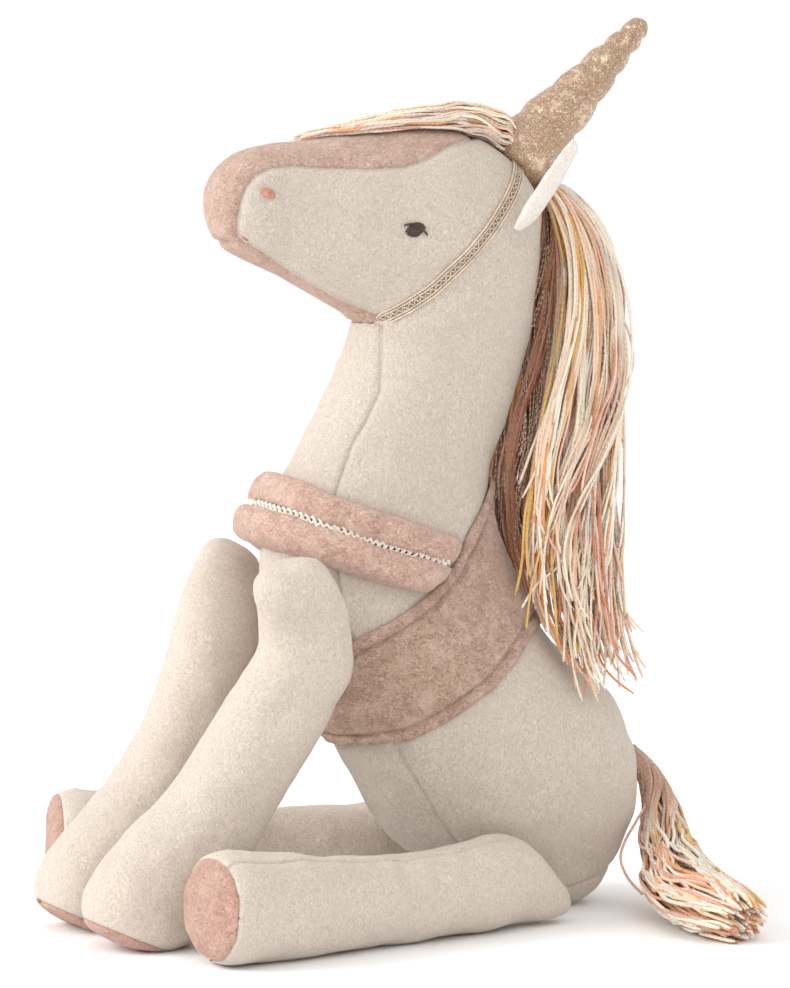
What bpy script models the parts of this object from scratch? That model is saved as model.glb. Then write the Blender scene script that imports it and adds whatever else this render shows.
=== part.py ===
"""Plush unicorn, sitting: sewn cloth panels round separate stuffings, four jointed legs, velour saddle and strap.

Metres, +Z up. The toy faces -Y and its left side is +X. The origin is the middle of the flat seat panel, on the floor.
Every size and table below is in millimetres and is scaled once by MM; angles are in radians.
"""

import math

import bmesh
import bpy
from mathutils import Matrix, Vector

MM = 0.001
GAP = 0.3                 # clearance between touching pieces
CLOTH = 1.2               # thickness of the sewn wool felt
PILE = 1.6                # thickness of the pink velour
ROUND = 20                # points round the body
LEG_ROUND = 14            # points round a leg

# Body: back point (y, z), front point (y, z) and half width of each slice, from the seat to the top of the neck.
BODY = [
    ((13, 0), (-29, 0), 20),
    ((21, 5), (-39, 6), 27),
    ((29, 18), (-56, 19), 33),
    ((37, 37), (-71.5, 33), 40),
    ((38.5, 58.5), (-83, 54.5), 44.5),
    ((27, 85), (-94.5, 73), 42.5),
    ((-1, 109), (-107.5, 92), 38.5),
    ((-19, 136), (-119, 110), 35),
    ((-28, 160), (-124, 138), 33),
    ((-27.5, 178.5), (-120, 165), 31),
    ((-20.5, 194), (-106.5, 188), 29.5),
    ((-16, 208), (-96, 206), 29),
    ((-8.5, 236), (-84.5, 232), 28.5),
    ((-4.5, 260), (-73, 250), 27.5),
    ((-4, 281), (-62, 273), 25),
    ((-10, 292), (-50, 290), 20),
]
# Head: top point (y, z), jaw point (y, z) and half width of each slice, from the back of the skull to the nose.
HEAD = [
    ((-5, 287), (-20, 246), 19),
    ((-12, 298), (-33, 235), 25),
    ((-29, 309.5), (-53, 233), 27.5),
    ((-47, 315), (-70, 234.3), 27),
    ((-64, 315), (-85, 239.3), 25.5),
    ((-86, 312.7), (-101.5, 246.3), 23),
    ((-107, 309.8), (-116.5, 256.0), 21),
    ((-124, 308), (-131.5, 261.5), 20),
    ((-137, 303), (-140.5, 268), 17.5),
    ((-145, 295), (-146, 275), 11.5),
]
BODY_POWER = 2.25         # 2 is an ellipse, more is squarer
HEAD_POWER = 2.3
LEG_POWER = 2.15
NECK_SPLIT = 214          # height at which the head and neck stuffing meets the torso stuffing

# Seams, as (y, z) lines seen from the side.
FACE_SEAM = [(-41, 309), (-51, 306.5), (-61, 301.7), (-71, 298.5), (-85, 297.8), (-105, 298.2), (-117, 299),
             (-126, 298), (-132, 295.5), (-136, 291), (-138, 285), (-139.3, 278), (-138, 272), (-134, 269.2)]
CHIN_SEAM = [(-134, 269.2), (-127, 265), (-119, 260), (-108, 253.5), (-95, 246.8), (-82, 241.5), (-77, 239)]
THROAT_SEAM = [(-78, 236.7), (-82, 211), (-88.5, 198), (-93, 191), (-102, 171), (-104, 150), (-99, 120),
               (-90, 95), (-76, 66), (-60, 40), (-42, 18)]
SEAT_SEAM = [(-42, 18), (-24, 9.5), (0, 9), (22, 15), (40, 24)]

# Saddle and strap lines, as (y, z).
SADDLE_FRONT = [(-20, 186), (-46.5, 155), (-56, 141), (-68, 130), (-82, 121), (-96, 113.5), (-112, 101), (-130, 92)]
SADDLE_REAR = [(-128, 68), (-108, 68.5), (-92.5, 70), (-74, 73.5), (-60, 81), (-41.5, 92.5), (-30, 103),
               (-20, 112), (-2, 118), (14, 124)]
SADDLE_BEHIND = [(14, 150), (-8, 190)]
STRAP_TOP = [(-160, 192), (-129, 186.5), (-118, 179), (-104.5, 171), (-86, 164), (-67, 157), (-50, 152.3)]
STRAP_CHAIN = [(-160, 175), (-129, 167.5), (-114.5, 161.5), (-101, 155.8), (-87, 151), (-73, 146.5), (-58, 141.8)]
STRAP_BOTTOM = [(-160, 161), (-139, 154), (-124, 148.5), (-110, 143), (-96.5, 138.5), (-83, 135), (-70, 131.7)]
STRAP_THICK = 9.5
BRAID = [(-10, 309), (-19, 296.5), (-29, 283.5), (-37.5, 272.8), (-48, 262), (-61, 249.5), (-74, 240.5),
         (-80, 237.2), (-88, 236.2)]
BRAID_WIDTH = 4.8

# Joint axes, all parallel to X except the tail's: (y, z).
HIP = (-31, 20)
SHOULDER = (-116, 127)
TAIL_ROOT = (42, 54)
MANE_ROOT = (1, 288)

# Hind leg: middle (x, y, z), half thickness across, half thickness up and down, from the hip to the hoof.
HIND = [
    ((49.5, -22.5, 20.8), 8, 13.5),
    ((49.8, -24.8, 20.2), 12, 17.6),
    ((52.0, -36.0, 19.2), 15, 19.0),
    ((56.0, -49.0, 18.3), 16.5, 18.3),
    ((61.0, -64.0, 17.4), 17.5, 18.2),
    ((68.8, -93.0, 16.8), 17.5, 17.6),
    ((76.0, -119.0, 17.8), 18, 18.8),
    ((82.0, -141.0, 19.4), 19, 20.6),
    ((86.5, -162.0, 20.8), 21, 22.2),
    ((89.0, -174.0, 21.6), 22, 23.0),
    ((90.0, -179.0, 21.8), 21, 21.8),
]
HIND_LEAN = [0.62, 0.60, 0.32, 0.1]     # how far the top of the first rings lies ahead of their bottom
# Front leg: the same from the shoulder to the hoof, with the half thickness fore and aft last.
FRONT_NEAR = [
    ((49.8, -132.8, 147.2), 5.0, 12),
    ((48.9, -131.7, 143.7), 9.5, 15.2),
    ((47.3, -128.8, 136.6), 12, 17),
    ((41.1, -122.9, 126.1), 13.5, 18.6),
    ((38.2, -120.3, 107.3), 16, 20.5),
    ((37.6, -130.6, 89.4), 17.5, 20),
    ((37.4, -145.6, 67.1), 18.5, 20),
    ((37.7, -163.0, 42.8), 19, 21.5),
    ((38.1, -176.1, 27.9), 20.5, 24.5),
    ((38.7, -188.5, 15.0), 22, 25),
    ((38.5, -192.5, 8.8), 21.5, 23),
    ((38.4, -194.2, 4.8), 20, 20.5),
]
FRONT_FAR = [
    ((49.1, -115.0, 146.6), 5, 8),
    ((49.1, -117.0, 143.0), 9.5, 13),
    ((39.3, -125.1, 127.3), 13, 18),
    ((30.2, -131.5, 108.7), 16, 19.5),
    ((25.1, -138.4, 88.6), 18, 19.5),
    ((20.9, -149.4, 67.4), 19, 20),
    ((15.2, -166.0, 42.2), 20, 21.5),
    ((12.6, -178.4, 27.6), 21.5, 24.5),
    ((10.5, -190.5, 15.0), 22.5, 25),
    ((9.5, -195.2, 8.8), 22, 23),
    ((9.2, -197.2, 4.8), 20.5, 20.5),
]
# Sole of a hoof, from its rim to its middle: share of the hoof's outline, height above the mouth.
SOLE_PROFILE = [(0.995, GAP), (0.99, 0.9), (0.80, 2.55), (0.45, 3.6), (0.12, 3.9)]

# Horn: foot, tip and half thickness at each end.
HORN_FOOT, HORN_TIP = (-16.8, 297.5), (43.8, 357.8)
HORN_RADIUS, HORN_TIP_RADIUS = 16.4, 4.3
HORN_CROWN = 6.0          # distance from the foot at which the horn leaves the head
HORN_PITCH = 21.5         # first turn of the thread, and how much each later turn closes up
HORN_CLOSING = 1.45
HORN_PUFF = 1.3           # depth of the valley between turns
HORN_COVER = 0.9
THREAD = 0.45
THREAD_RADIUS = 0.9       # the joint threads through hips and shoulders

# Ear: root (y, z), length, thickness, half angle of the cupped section, and its half width along its length.
EAR_ROOT = (-26.6, 276)
EAR_LENGTH = 39.0
EAR_THICK = 2.5
EAR_CUP = 1.15
EAR_LEAF = [(-0.06, 2.0), (0.05, 5.0), (0.2, 7.2), (0.4, 8.0), (0.6, 7.6), (0.8, 6.5), (0.94, 5.1), (1.0, 3.8)]

EYE, NOSTRIL = (-68.2, 274), (-128, 288.5)      # middle of each, seen from the side

# Finishes: colour, roughness, metallic, sheen.
LOOKS = {
    "wool": ((0.62, 0.53, 0.44), 0.95, 0.0, 0.3),
    "velour": ((0.56, 0.30, 0.25), 0.9, 0.0, 0.7),
    "stuffing": ((0.86, 0.84, 0.80), 1.0, 0.0, 0.0),
    "gold_cloth": ((0.55, 0.40, 0.28), 0.4, 0.7, 0.0),
    "gold_braid": ((0.60, 0.43, 0.26), 0.45, 0.6, 0.0),
    "yarn": ((0.72, 0.52, 0.40), 0.9, 0.0, 0.2),
    "thread": ((0.80, 0.74, 0.66), 0.9, 0.0, 0.0),
    "dark_thread": ((0.05, 0.03, 0.02), 0.6, 0.0, 0.0),
    "salmon_thread": ((0.60, 0.30, 0.20), 0.8, 0.0, 0.0),
}

# Yarn: middle (x, y, z), half size along X, half size across.
FORELOCK = [
    ((-4, -14, 309), 5, 4),
    ((-5, -22, 315), 7, 6),
    ((-6, -34, 318.5), 8, 5),
    ((-7, -48, 319.3), 8, 4.8),
    ((-8, -64, 318.2), 8, 4.4),
    ((-9, -79, 315.5), 7.5, 3.8),
    ((-10, -91, 312.5), 6, 3),
    ((-10, -100, 310.5), 3.5, 2),
]
MANE_BACK = [
    ((-4, 0, 291), 5, 5),
    ((-6, 3, 280), 7, 8),
    ((-7, 4, 262), 8, 10),
    ((-7, 3, 238), 8, 12),
    ((-7, -1, 214), 8, 13),
    ((-7, -6, 194), 8, 13),
    ((-7, -10, 172), 8, 13),
    ((-7, -10, 150), 8, 12),
    ((-7, -5, 132), 7, 10),
    ((-6, 0, 120), 4, 6),
]
MANE_LOCK = [
    ((7, 3, 288), 3, 4),
    ((9, 7, 280), 6, 7),
    ((11, 12, 262), 7.5, 11),
    ((12, 14, 240), 9, 14.5),
    ((13, 12, 222), 10, 15),
    ((15, 7.5, 192), 11, 17.5),
    ((18, 3.5, 168), 11, 19),
    ((25, 1.0, 131), 11, 18),
    ((34, 3.5, 109), 9, 14),
    ((43, 6, 93), 7, 13),
    ((47, 8, 83), 5, 13),
]
# Tail: middle, half size across, half size up and down. It lies on the floor, swept to the left.
TAIL = [
    ((3, 42.6, 54), 3.4, 3.4),
    ((7, 44.8, 46), 5.3, 5.3),
    ((15, 45.6, 36), 8.2, 7.2),
    ((32, 39.5, 24.0), 12, 11),
    ((57, 31.5, 15.0), 15, 13),
    ((86, 25.5, 12.2), 16.5, 12),
    ((108, 25.5, 11.2), 15.5, 11),
    ((121, 28.5, 8.7), 12, 8.5),
    ((127, 29.5, 6.3), 9, 6),
]


def new_object(name, mesh, collection):
    thing = bpy.data.objects.new(name, mesh)
    collection.objects.link(thing)
    return thing


def mesh_object(name, points, faces, collection):
    mesh = bpy.data.meshes.new(name)
    mesh.from_pydata([tuple(c * MM for c in p) for p in points], [], faces)
    mesh.update()
    return new_object(name, mesh, collection)


def ring_solid(name, rings, collection):
    """A closed solid through rings of equally many points, with a flat fan at each end."""
    count = len(rings[0])
    points = [p for ring in rings for p in ring]
    faces = []
    for k in range(len(rings) - 1):
        for i in range(count):
            j = (i + 1) % count
            a, b = k * count + i, k * count + j
            faces.append((a, b, b + count, a + count))
    first = len(points)
    for ring, start, flip in ((rings[0], 0, True), (rings[-1], (len(rings) - 1) * count, False)):
        points.append(tuple(sum(p[c] for p in ring) / count for c in range(3)))
        hub = len(points) - 1
        for i in range(count):
            a, b = start + i, start + (i + 1) % count
            faces.append((hub, b, a) if flip else (hub, a, b))
    thing = mesh_object(name, points, faces, collection)
    if signed_volume(points, faces) < 0:
        thing.data.flip_normals()
    return thing


def signed_volume(points, faces):
    total = 0.0
    for face in faces:
        a = Vector(points[face[0]])
        for i in range(1, len(face) - 1):
            total += a.dot(Vector(points[face[i]]).cross(Vector(points[face[i + 1]])))
    return total


def superellipse(count, power):
    """Points (c, s) round a curve between an ellipse and a rounded box."""
    out = []
    for i in range(count):
        t = 2 * math.pi * i / count
        c, s = math.cos(t), math.sin(t)
        out.append((math.copysign(abs(c) ** (2 / power), c), math.copysign(abs(s) ** (2 / power), s)))
    return out


def slice_ring(back, front, half_width, grow, power, count, shift=(0.0, 0.0)):
    """One slice, across X and along the line from the front point to the back one."""
    middle = [(back[k] + front[k]) / 2 + shift[k] for k in range(2)]
    half = math.dist(back, front) / 2
    along = [(back[k] - middle[k] + shift[k]) / half for k in range(2)]
    return [((half_width + grow) * s,
             middle[0] + along[0] * (half + grow) * c,
             middle[1] + along[1] * (half + grow) * c) for c, s in superellipse(count, power)]


def form(name, slices, grow, power, count, ends):
    """The slices grown by a distance on every side. ends gives the outward direction (y, z) at each end."""
    rings = []
    for k, (back, front, half_width) in enumerate(slices):
        push = ends[0] if k == 0 else ends[1] if k == len(slices) - 1 else (0.0, 0.0)
        rings.append(slice_ring(back, front, half_width, grow, power, count,
                                (push[0] * grow, push[1] * grow)))
    return ring_solid(name, rings, HELPERS)


def cut(thing, operation, other, keep=False, solver="EXACT"):
    """Applies one Boolean. The other solid is used up unless it is kept for a later cut."""
    step = thing.modifiers.new(operation.lower(), "BOOLEAN")
    step.operation = operation
    step.object = other
    step.solver = solver
    bpy.context.view_layer.update()
    graph = bpy.context.evaluated_depsgraph_get()
    mesh = bpy.data.meshes.new_from_object(thing.evaluated_get(graph))
    thing.modifiers.clear()
    thing.data = mesh
    if not keep:
        bpy.data.objects.remove(other, do_unlink=True)
    return thing


def copy_of(thing, name):
    return new_object(name, thing.data.copy(), HELPERS)


def whole_body(grow):
    """Torso, neck and head in one form, grown by a distance."""
    torso = form("body_form", BODY, grow, BODY_POWER, ROUND, ((0, -1), (0.2, 1)))
    head = form("head_form", HEAD, grow, HEAD_POWER, ROUND, ((1, 0.2), (-1, 0)))
    return cut(torso, "UNION", head)


def solid_from_curve(curve, matrix, name):
    """The closed mesh of a curve object, because a curve can't be cut or used as a cutter."""
    guide = bpy.data.objects.new(name + "_curve", curve)
    HELPERS.objects.link(guide)
    guide.matrix_world = matrix
    bpy.context.view_layer.update()
    graph = bpy.context.evaluated_depsgraph_get()
    mesh = bpy.data.meshes.new_from_object(guide.evaluated_get(graph))
    mesh.transform(guide.matrix_world)
    work = bmesh.new()
    work.from_mesh(mesh)
    bmesh.ops.remove_doubles(work, verts=work.verts, dist=1e-6)
    bmesh.ops.recalc_face_normals(work, faces=work.faces)
    work.to_mesh(mesh)
    work.free()
    bpy.data.objects.remove(guide, do_unlink=True)
    return new_object(name, mesh, HELPERS)


def poly_curve(name, points, closed):
    curve = bpy.data.curves.new(name, "CURVE")
    line = curve.splines.new("POLY")
    line.points.add(len(points) - 1)
    for k, point in enumerate(points):
        line.points[k].co = (*[c * MM for c in point], 1)
    line.use_cyclic_u = closed
    return curve


def prism(name, outline, low, high):
    """A side outline (y, z) extruded from x = low to x = high."""
    curve = poly_curve(name, [(y, z, 0) for y, z in outline], True)
    curve.dimensions = "2D"
    curve.fill_mode = "BOTH"
    curve.extrude = abs(high - low) / 2 * MM
    turned = Matrix(((0, 0, 1, (low + high) / 2 * MM), (1, 0, 0, 0), (0, 1, 0, 0), (0, 0, 0, 1)))
    return solid_from_curve(curve, turned, name)


def widened(outline, by):
    """The outline moved outward by a distance."""
    n = len(outline)
    area = sum(outline[i][0] * outline[(i + 1) % n][1] - outline[(i + 1) % n][0] * outline[i][1]
               for i in range(n))
    side = by if area > 0 else -by
    out = []
    for i in range(n):
        before, here, after = outline[i - 1], outline[i], outline[(i + 1) % n]
        u = Vector((here[0] - before[0], here[1] - before[1])).normalized()
        v = Vector((after[0] - here[0], after[1] - here[1])).normalized()
        bisector = Vector((u.y + v.y, -u.x - v.x)).normalized()
        reach = side / max(0.4, bisector.dot(Vector((u.y, -u.x))))
        out.append((here[0] + bisector.x * reach, here[1] + bisector.y * reach))
    return out


def strip_outline(line, width):
    """A strip of even width round an open line."""
    left, right = [], []
    for k, point in enumerate(line):
        before, after = line[max(k - 1, 0)], line[min(k + 1, len(line) - 1)]
        u = Vector((after[0] - before[0], after[1] - before[1])).normalized()
        side = Vector((-u.y, u.x)) * width / 2
        left.append(tuple(Vector(point) + side))
        right.append(tuple(Vector(point) - side))
    return left + right[::-1]


def limb_rings(stations, lean, side, grow, first=0.0, last=0.0, mouth=0.0, floor=None):
    """Rings of a leg square to its middle line. first and last move its ends outward, mouth adds one more ring."""
    middles = [Vector((side * m[0], m[1], m[2])) for m, _, _ in stations]
    rings = []
    for k, (_, across, deep) in enumerate(stations):
        ahead = middles[min(k + 1, len(middles) - 1)] - middles[max(k - 1, 0)]
        ahead.normalize()
        across_axis = Vector((1, 0, 0)) - ahead * ahead.x
        across_axis.normalize()
        deep_axis = ahead.cross(across_axis)
        middle = middles[k].copy()
        if k == 0:
            middle -= ahead * first
        if k == len(middles) - 1:
            middle += ahead * last
        ring = []
        for c, s in superellipse(LEG_ROUND, LEG_POWER):
            p = middle + across_axis * (across + grow) * s + deep_axis * (deep + grow) * c
            if k < len(lean):
                p.y -= lean[k] * deep_axis.z * deep * c
            if floor is not None and p.z < floor:
                p.z = floor
            ring.append(tuple(p))
        rings.append(ring)
        if k == len(middles) - 1 and mouth:
            rings.append([tuple(Vector(p) + ahead * mouth) for p in ring])
    return rings


def material(name, colour, roughness, metallic=0.0, sheen=0.0):
    made = bpy.data.materials.new(name)
    made.use_nodes = True
    shader = made.node_tree.nodes["Principled BSDF"]
    shader.inputs["Base Color"].default_value = (*colour, 1)
    shader.inputs["Roughness"].default_value = roughness
    shader.inputs["Metallic"].default_value = metallic
    shader.inputs["Sheen Weight"].default_value = sheen
    return made


def joint(name, x, axis):
    """An empty on a joint axis. The pieces that turn there are its children."""
    empty = bpy.data.objects.new(name, None)
    UNICORN.objects.link(empty)
    empty.empty_display_size = 8 * MM
    empty.location = Vector((x, *axis)) * MM
    return empty


def finish(thing, name, look, turns_on=None):
    """Names the node, gives it its own material and hangs it on its joint's empty."""
    thing.name = name
    thing.data.name = name
    for holder in list(thing.users_collection):
        holder.objects.unlink(thing)
    UNICORN.objects.link(thing)
    thing.data.materials.clear()
    thing.data.materials.append(material(name, *LOOKS[look]))
    thing.data.shade_smooth()
    thing.data.set_sharp_from_angle(angle=math.radians(35))
    if turns_on is not None:
        thing.data.transform(Matrix.Translation(-turns_on.location))
        thing.parent = turns_on
    return thing


for old in list(bpy.data.objects):
    bpy.data.objects.remove(old, do_unlink=True)
UNICORN = bpy.data.collections.new("plush_unicorn")
HELPERS = bpy.data.collections.new("cutters")
HELPERS.hide_render = True
for collection in (UNICORN, HELPERS):
    bpy.context.scene.collection.children.link(collection)


# ---- body skin: one shell cut along its seams into sewn panels ----

def sewn_skin():
    skin = cut(whole_body(0.0), "DIFFERENCE", whole_body(-CLOTH))
    face = [(-30, 340), (-170, 340), (-170, 269.2)] + FACE_SEAM[::-1] + [(-34, 311)]
    chin = [(-170, 268.9), (-170, 237), (-80, 237)] + CHIN_SEAM[::-1]
    throat = [(-200, 236.7), (-200, -20), (-50, -20)] + THROAT_SEAM[::-1]
    seat = [(-60, -20), (60, -20), (60, 24)] + SEAT_SEAM[::-1] + [(-60, 22)]
    panels = {}
    for name, outline in (("face_gusset", face), ("chin_gusset", chin), ("throat_gusset", throat),
                          ("seat_panel", seat)):
        panels[name] = cut(copy_of(skin, name), "INTERSECT", prism(name + "_line", outline, -80, 80))
        cut(skin, "DIFFERENCE", prism(name + "_edge", widened(outline, GAP), -81, 81))
    for side, name in ((1, "side_panel_left"), (-1, "side_panel_right")):
        half = prism(name + "_half", [(-300, -50), (200, -50), (200, 450), (-300, 450)],
                     side * GAP / 2, side * 100)
        panels[name] = cut(copy_of(skin, name), "INTERSECT", half)
    bpy.data.objects.remove(skin, do_unlink=True)
    return panels


panels = sewn_skin()
for name, thing in panels.items():
    finish(thing, name, "velour" if name in ("face_gusset", "chin_gusset") else "wool")

# ---- stuffing: the neck and head stuffing sits on the torso stuffing inside the skin ----
stuffing = whole_body(-CLOTH - GAP)
above = prism("above_cut", [(-300, NECK_SPLIT), (200, NECK_SPLIT), (200, 500), (-300, 500)], -100, 100)
below = prism("below_cut", [(-300, -50), (200, -50), (200, NECK_SPLIT - GAP), (-300, NECK_SPLIT - GAP)],
              -100, 100)
head_stuffing = cut(copy_of(stuffing, "head_stuffing"), "INTERSECT", above)
torso_stuffing = cut(stuffing, "INTERSECT", below)


# ---- legs: an open cloth cover, its stuffing and the velour sole in the mouth of the hoof ----

def leg(name, stations, lean, side, origin):
    """Cover, stuffing and sole of one leg. All three turn about the joint axis."""
    outer = ring_solid("outer", limb_rings(stations, lean, side, 0, floor=0.0), HELPERS)
    inner = ring_solid("inner", limb_rings(stations, lean, side, -CLOTH, first=-CLOTH, mouth=8, floor=CLOTH),
                       HELPERS)
    fill = ring_solid("fill", limb_rings(stations, lean, side, -CLOTH - 2.5 * GAP, first=-CLOTH - 3 * GAP,
                                         last=-1.0, floor=CLOTH + 4 * GAP), HELPERS)
    cover = cut(outer, "DIFFERENCE", inner)
    rings = limb_rings(stations, lean, side, 0)
    last = [Vector(p) for p in rings[-1]]
    middle = sum(last, Vector()) / len(last)
    ahead = (Vector((side * stations[-1][0][0], *stations[-1][0][1:]))
             - Vector((side * stations[-2][0][0], *stations[-2][0][1:]))).normalized()
    patch = []
    for size, out in SOLE_PROFILE:
        ring = [middle + (p - middle) * size + ahead * out for p in last]
        patch.append([(p.x, p.y, max(p.z, 0.0)) for p in ring])
    sole = ring_solid("sole", patch, HELPERS)
    return {name + "_cover": (cover, "wool", origin), name + "_stuffing": (fill, "stuffing", origin),
            name + "_sole": (sole, "velour", origin)}


legs = {}
for side, end in ((1, "left"), (-1, "right")):
    legs.update(leg("hind_leg_" + end, HIND, HIND_LEAN, side, joint("hip_" + end, side * 45, HIP)))
    stations = FRONT_NEAR if side == 1 else FRONT_FAR
    legs.update(leg("front_leg_" + end, stations, [], side, joint("shoulder_" + end, side * 45, SHOULDER)))


def rod(name, axis, reach, radius):
    """A round rod along X, centred on x = 0, at the joint axis (y, z)."""
    mesh = bpy.data.meshes.new(name)
    work = bmesh.new()
    place = Matrix.Translation((0, axis[0] * MM, axis[1] * MM)) @ Matrix.Rotation(math.pi / 2, 4, "Y")
    bmesh.ops.create_cone(work, cap_ends=True, segments=10, radius1=radius * MM, radius2=radius * MM,
                          depth=2 * reach * MM, matrix=place)
    work.to_mesh(mesh)
    work.free()
    return new_object(name, mesh, HELPERS)


# ---- joint threads: one doubled thread through the body from leg to leg at the hips and at the shoulders ----
threads = {}
for name, group, axis, reach in (("hip_thread", "hind_leg_", HIP, 49.0),
                                 ("shoulder_thread", "front_leg_", SHOULDER, 42.0)):
    threads[name] = rod(name, axis, reach, THREAD_RADIUS)
    tunnel = rod(name + "_tunnel", axis, reach + GAP, THREAD_RADIUS + GAP)
    cut(torso_stuffing, "DIFFERENCE", tunnel, keep=True)
    for thing in panels.values():
        if thing.name.startswith(("side", "seat", "throat")):
            cut(thing, "DIFFERENCE", tunnel, keep=True)
    for part_name, (thing, _, _) in legs.items():
        if part_name.startswith(group) and not part_name.endswith("_sole"):
            cut(thing, "DIFFERENCE", tunnel, keep=True)
    bpy.data.objects.remove(tunnel, do_unlink=True)

finish(head_stuffing, "head_stuffing", "stuffing")
finish(torso_stuffing, "torso_stuffing", "stuffing")
for name, (thing, look, origin) in legs.items():
    finish(thing, name, look, origin)
for name, thing in threads.items():
    finish(thing, name, "thread")


# ---- saddle, chest strap and gold braid: bands cut from the body grown by their thickness ----

def band(name, outline, inside, outside, less=None):
    slab = cut(prism(name + "_line", outline, -90, 90), "INTERSECT", whole_body(outside))
    if less is not None:
        cut(slab, "DIFFERENCE", less, keep=True, solver="MANIFOLD")
    return cut(slab, "DIFFERENCE", whole_body(inside))


def shifted(line, by):
    """The line moved up by a distance."""
    return [(y, z + by) for y, z in line]


saddle = band("saddle", SADDLE_FRONT + SADDLE_REAR + SADDLE_BEHIND, GAP, GAP + PILE)
upper_roll = band("upper_roll", STRAP_TOP + shifted(STRAP_CHAIN, GAP / 2)[::-1], GAP, STRAP_THICK)
lower_roll = band("lower_roll", shifted(STRAP_CHAIN, -GAP / 2) + STRAP_BOTTOM[::-1], GAP, STRAP_THICK)
crochet = band("crochet_line", shifted(STRAP_CHAIN, 1.8) + shifted(STRAP_CHAIN, -1.8)[::-1],
               STRAP_THICK + GAP, STRAP_THICK + GAP + 1.0)


# ---- horn: a gold cone wound with a spiral thread, standing on the crown ----
HORN_AXIS = (Vector((0, *HORN_TIP)) - Vector((0, *HORN_FOOT))).normalized()
HORN_LENGTH = math.dist(HORN_TIP, HORN_FOOT)
HORN_SIDE = Vector((1, 0, 0))
HORN_FORE = HORN_AXIS.cross(HORN_SIDE)


def horn_point(distance, angle, radius):
    middle = Vector((0, *HORN_FOOT)) + HORN_AXIS * distance
    return tuple(middle + HORN_SIDE * radius * math.cos(angle) + HORN_FORE * radius * math.sin(angle))


def horn_radius(distance):
    """Straight taper with a rounded tip."""
    share = max(0.0, min(1.0, distance / HORN_LENGTH))
    taper = HORN_RADIUS + (HORN_TIP_RADIUS - HORN_RADIUS) * share
    left = HORN_LENGTH - distance
    if left >= HORN_TIP_RADIUS:
        return taper
    return taper * math.sqrt(max(0.02, 1 - (1 - left / HORN_TIP_RADIUS) ** 2))


def horn_turns(distance):
    """Turns of the thread up to a distance above the crown. They get closer towards the tip."""
    d = distance - HORN_CROWN
    return (HORN_PITCH - math.sqrt(max(0.0, HORN_PITCH ** 2 - 4 * HORN_CLOSING * d))) / (2 * HORN_CLOSING)


def horn_rings(count, distances, puffed, grow):
    rings = []
    for distance in distances:
        ring = []
        for i in range(count):
            angle = 2 * math.pi * i / count
            radius = horn_radius(distance) + grow
            if puffed:
                wave = abs(math.sin(math.pi * (horn_turns(distance) - angle / (2 * math.pi))))
                radius += HORN_PUFF * min(1.0, radius / 6) * (wave ** 0.6 - 1)
            ring.append(horn_point(distance, angle, radius))
        rings.append(ring)
    return rings


steps = [HORN_LENGTH * k / 34 for k in range(34)] + [HORN_LENGTH - 0.4, HORN_LENGTH]
horn_cover = ring_solid("horn_cover", horn_rings(16, steps, True, 0), HELPERS)
inside_steps = [-3, 0, HORN_LENGTH - 9, HORN_LENGTH - 5, HORN_LENGTH - 4]
horn_hollow = ring_solid("horn_hollow", horn_rings(12, inside_steps, False, -HORN_PUFF - HORN_COVER), HELPERS)
fill_steps = [0, HORN_LENGTH - 9, HORN_LENGTH - 5.5, HORN_LENGTH - 4.6]
horn_stuffing = ring_solid("horn_stuffing",
                           horn_rings(12, fill_steps, False, -HORN_PUFF - HORN_COVER - GAP), HELPERS)
horn_room = ring_solid("horn_room", horn_rings(18, [-4, 0, 60], False, 1.5 * GAP), HELPERS)
on_skin = whole_body(GAP)
cut(horn_cover, "DIFFERENCE", horn_hollow)
for thing in (horn_cover, horn_stuffing):
    cut(thing, "DIFFERENCE", on_skin, keep=True)


def thread_path():
    """The spiral in the valley between the puffed turns."""
    path = []
    for k in range(0, 14 * 5):
        turns = 0.32 + k / 14
        distance = HORN_CROWN + HORN_PITCH * turns - HORN_CLOSING * turns ** 2
        if distance > HORN_LENGTH - 5:
            break
        radius = horn_radius(distance)
        radius += -HORN_PUFF * min(1.0, radius / 6) + THREAD + 3.2 * GAP
        path.append(horn_point(distance, 2 * math.pi * turns, radius))
    return path


spiral = poly_curve("spiral", thread_path(), False)
spiral.dimensions = "3D"
spiral.bevel_depth = THREAD * MM
spiral.bevel_resolution = 1
spiral.use_fill_caps = True
horn_thread = solid_from_curve(spiral, Matrix.Identity(4), "horn_thread")


braid = band("braid", strip_outline(BRAID, BRAID_WIDTH), GAP, GAP + 1.0, horn_room)


# ---- embroidered eyes and nostrils ----

def side_patch(name, middle, half_length, half_height, thick, side, slope=0.0):
    outline = []
    for i in range(14):
        t = 2 * math.pi * i / 14
        u, v = half_length * math.cos(t), half_height * math.sin(t)
        outline.append((middle[0] + u * math.cos(slope) - v * math.sin(slope),
                        middle[1] + u * math.sin(slope) + v * math.cos(slope)))
    low, high = (0, 60) if side > 0 else (-60, 0)
    patch = cut(prism(name + "_line", outline, low, high), "INTERSECT", whole_body(GAP + thick))
    return cut(patch, "DIFFERENCE", whole_body(GAP))


# ---- ears: one cupped leaf each ----

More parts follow.
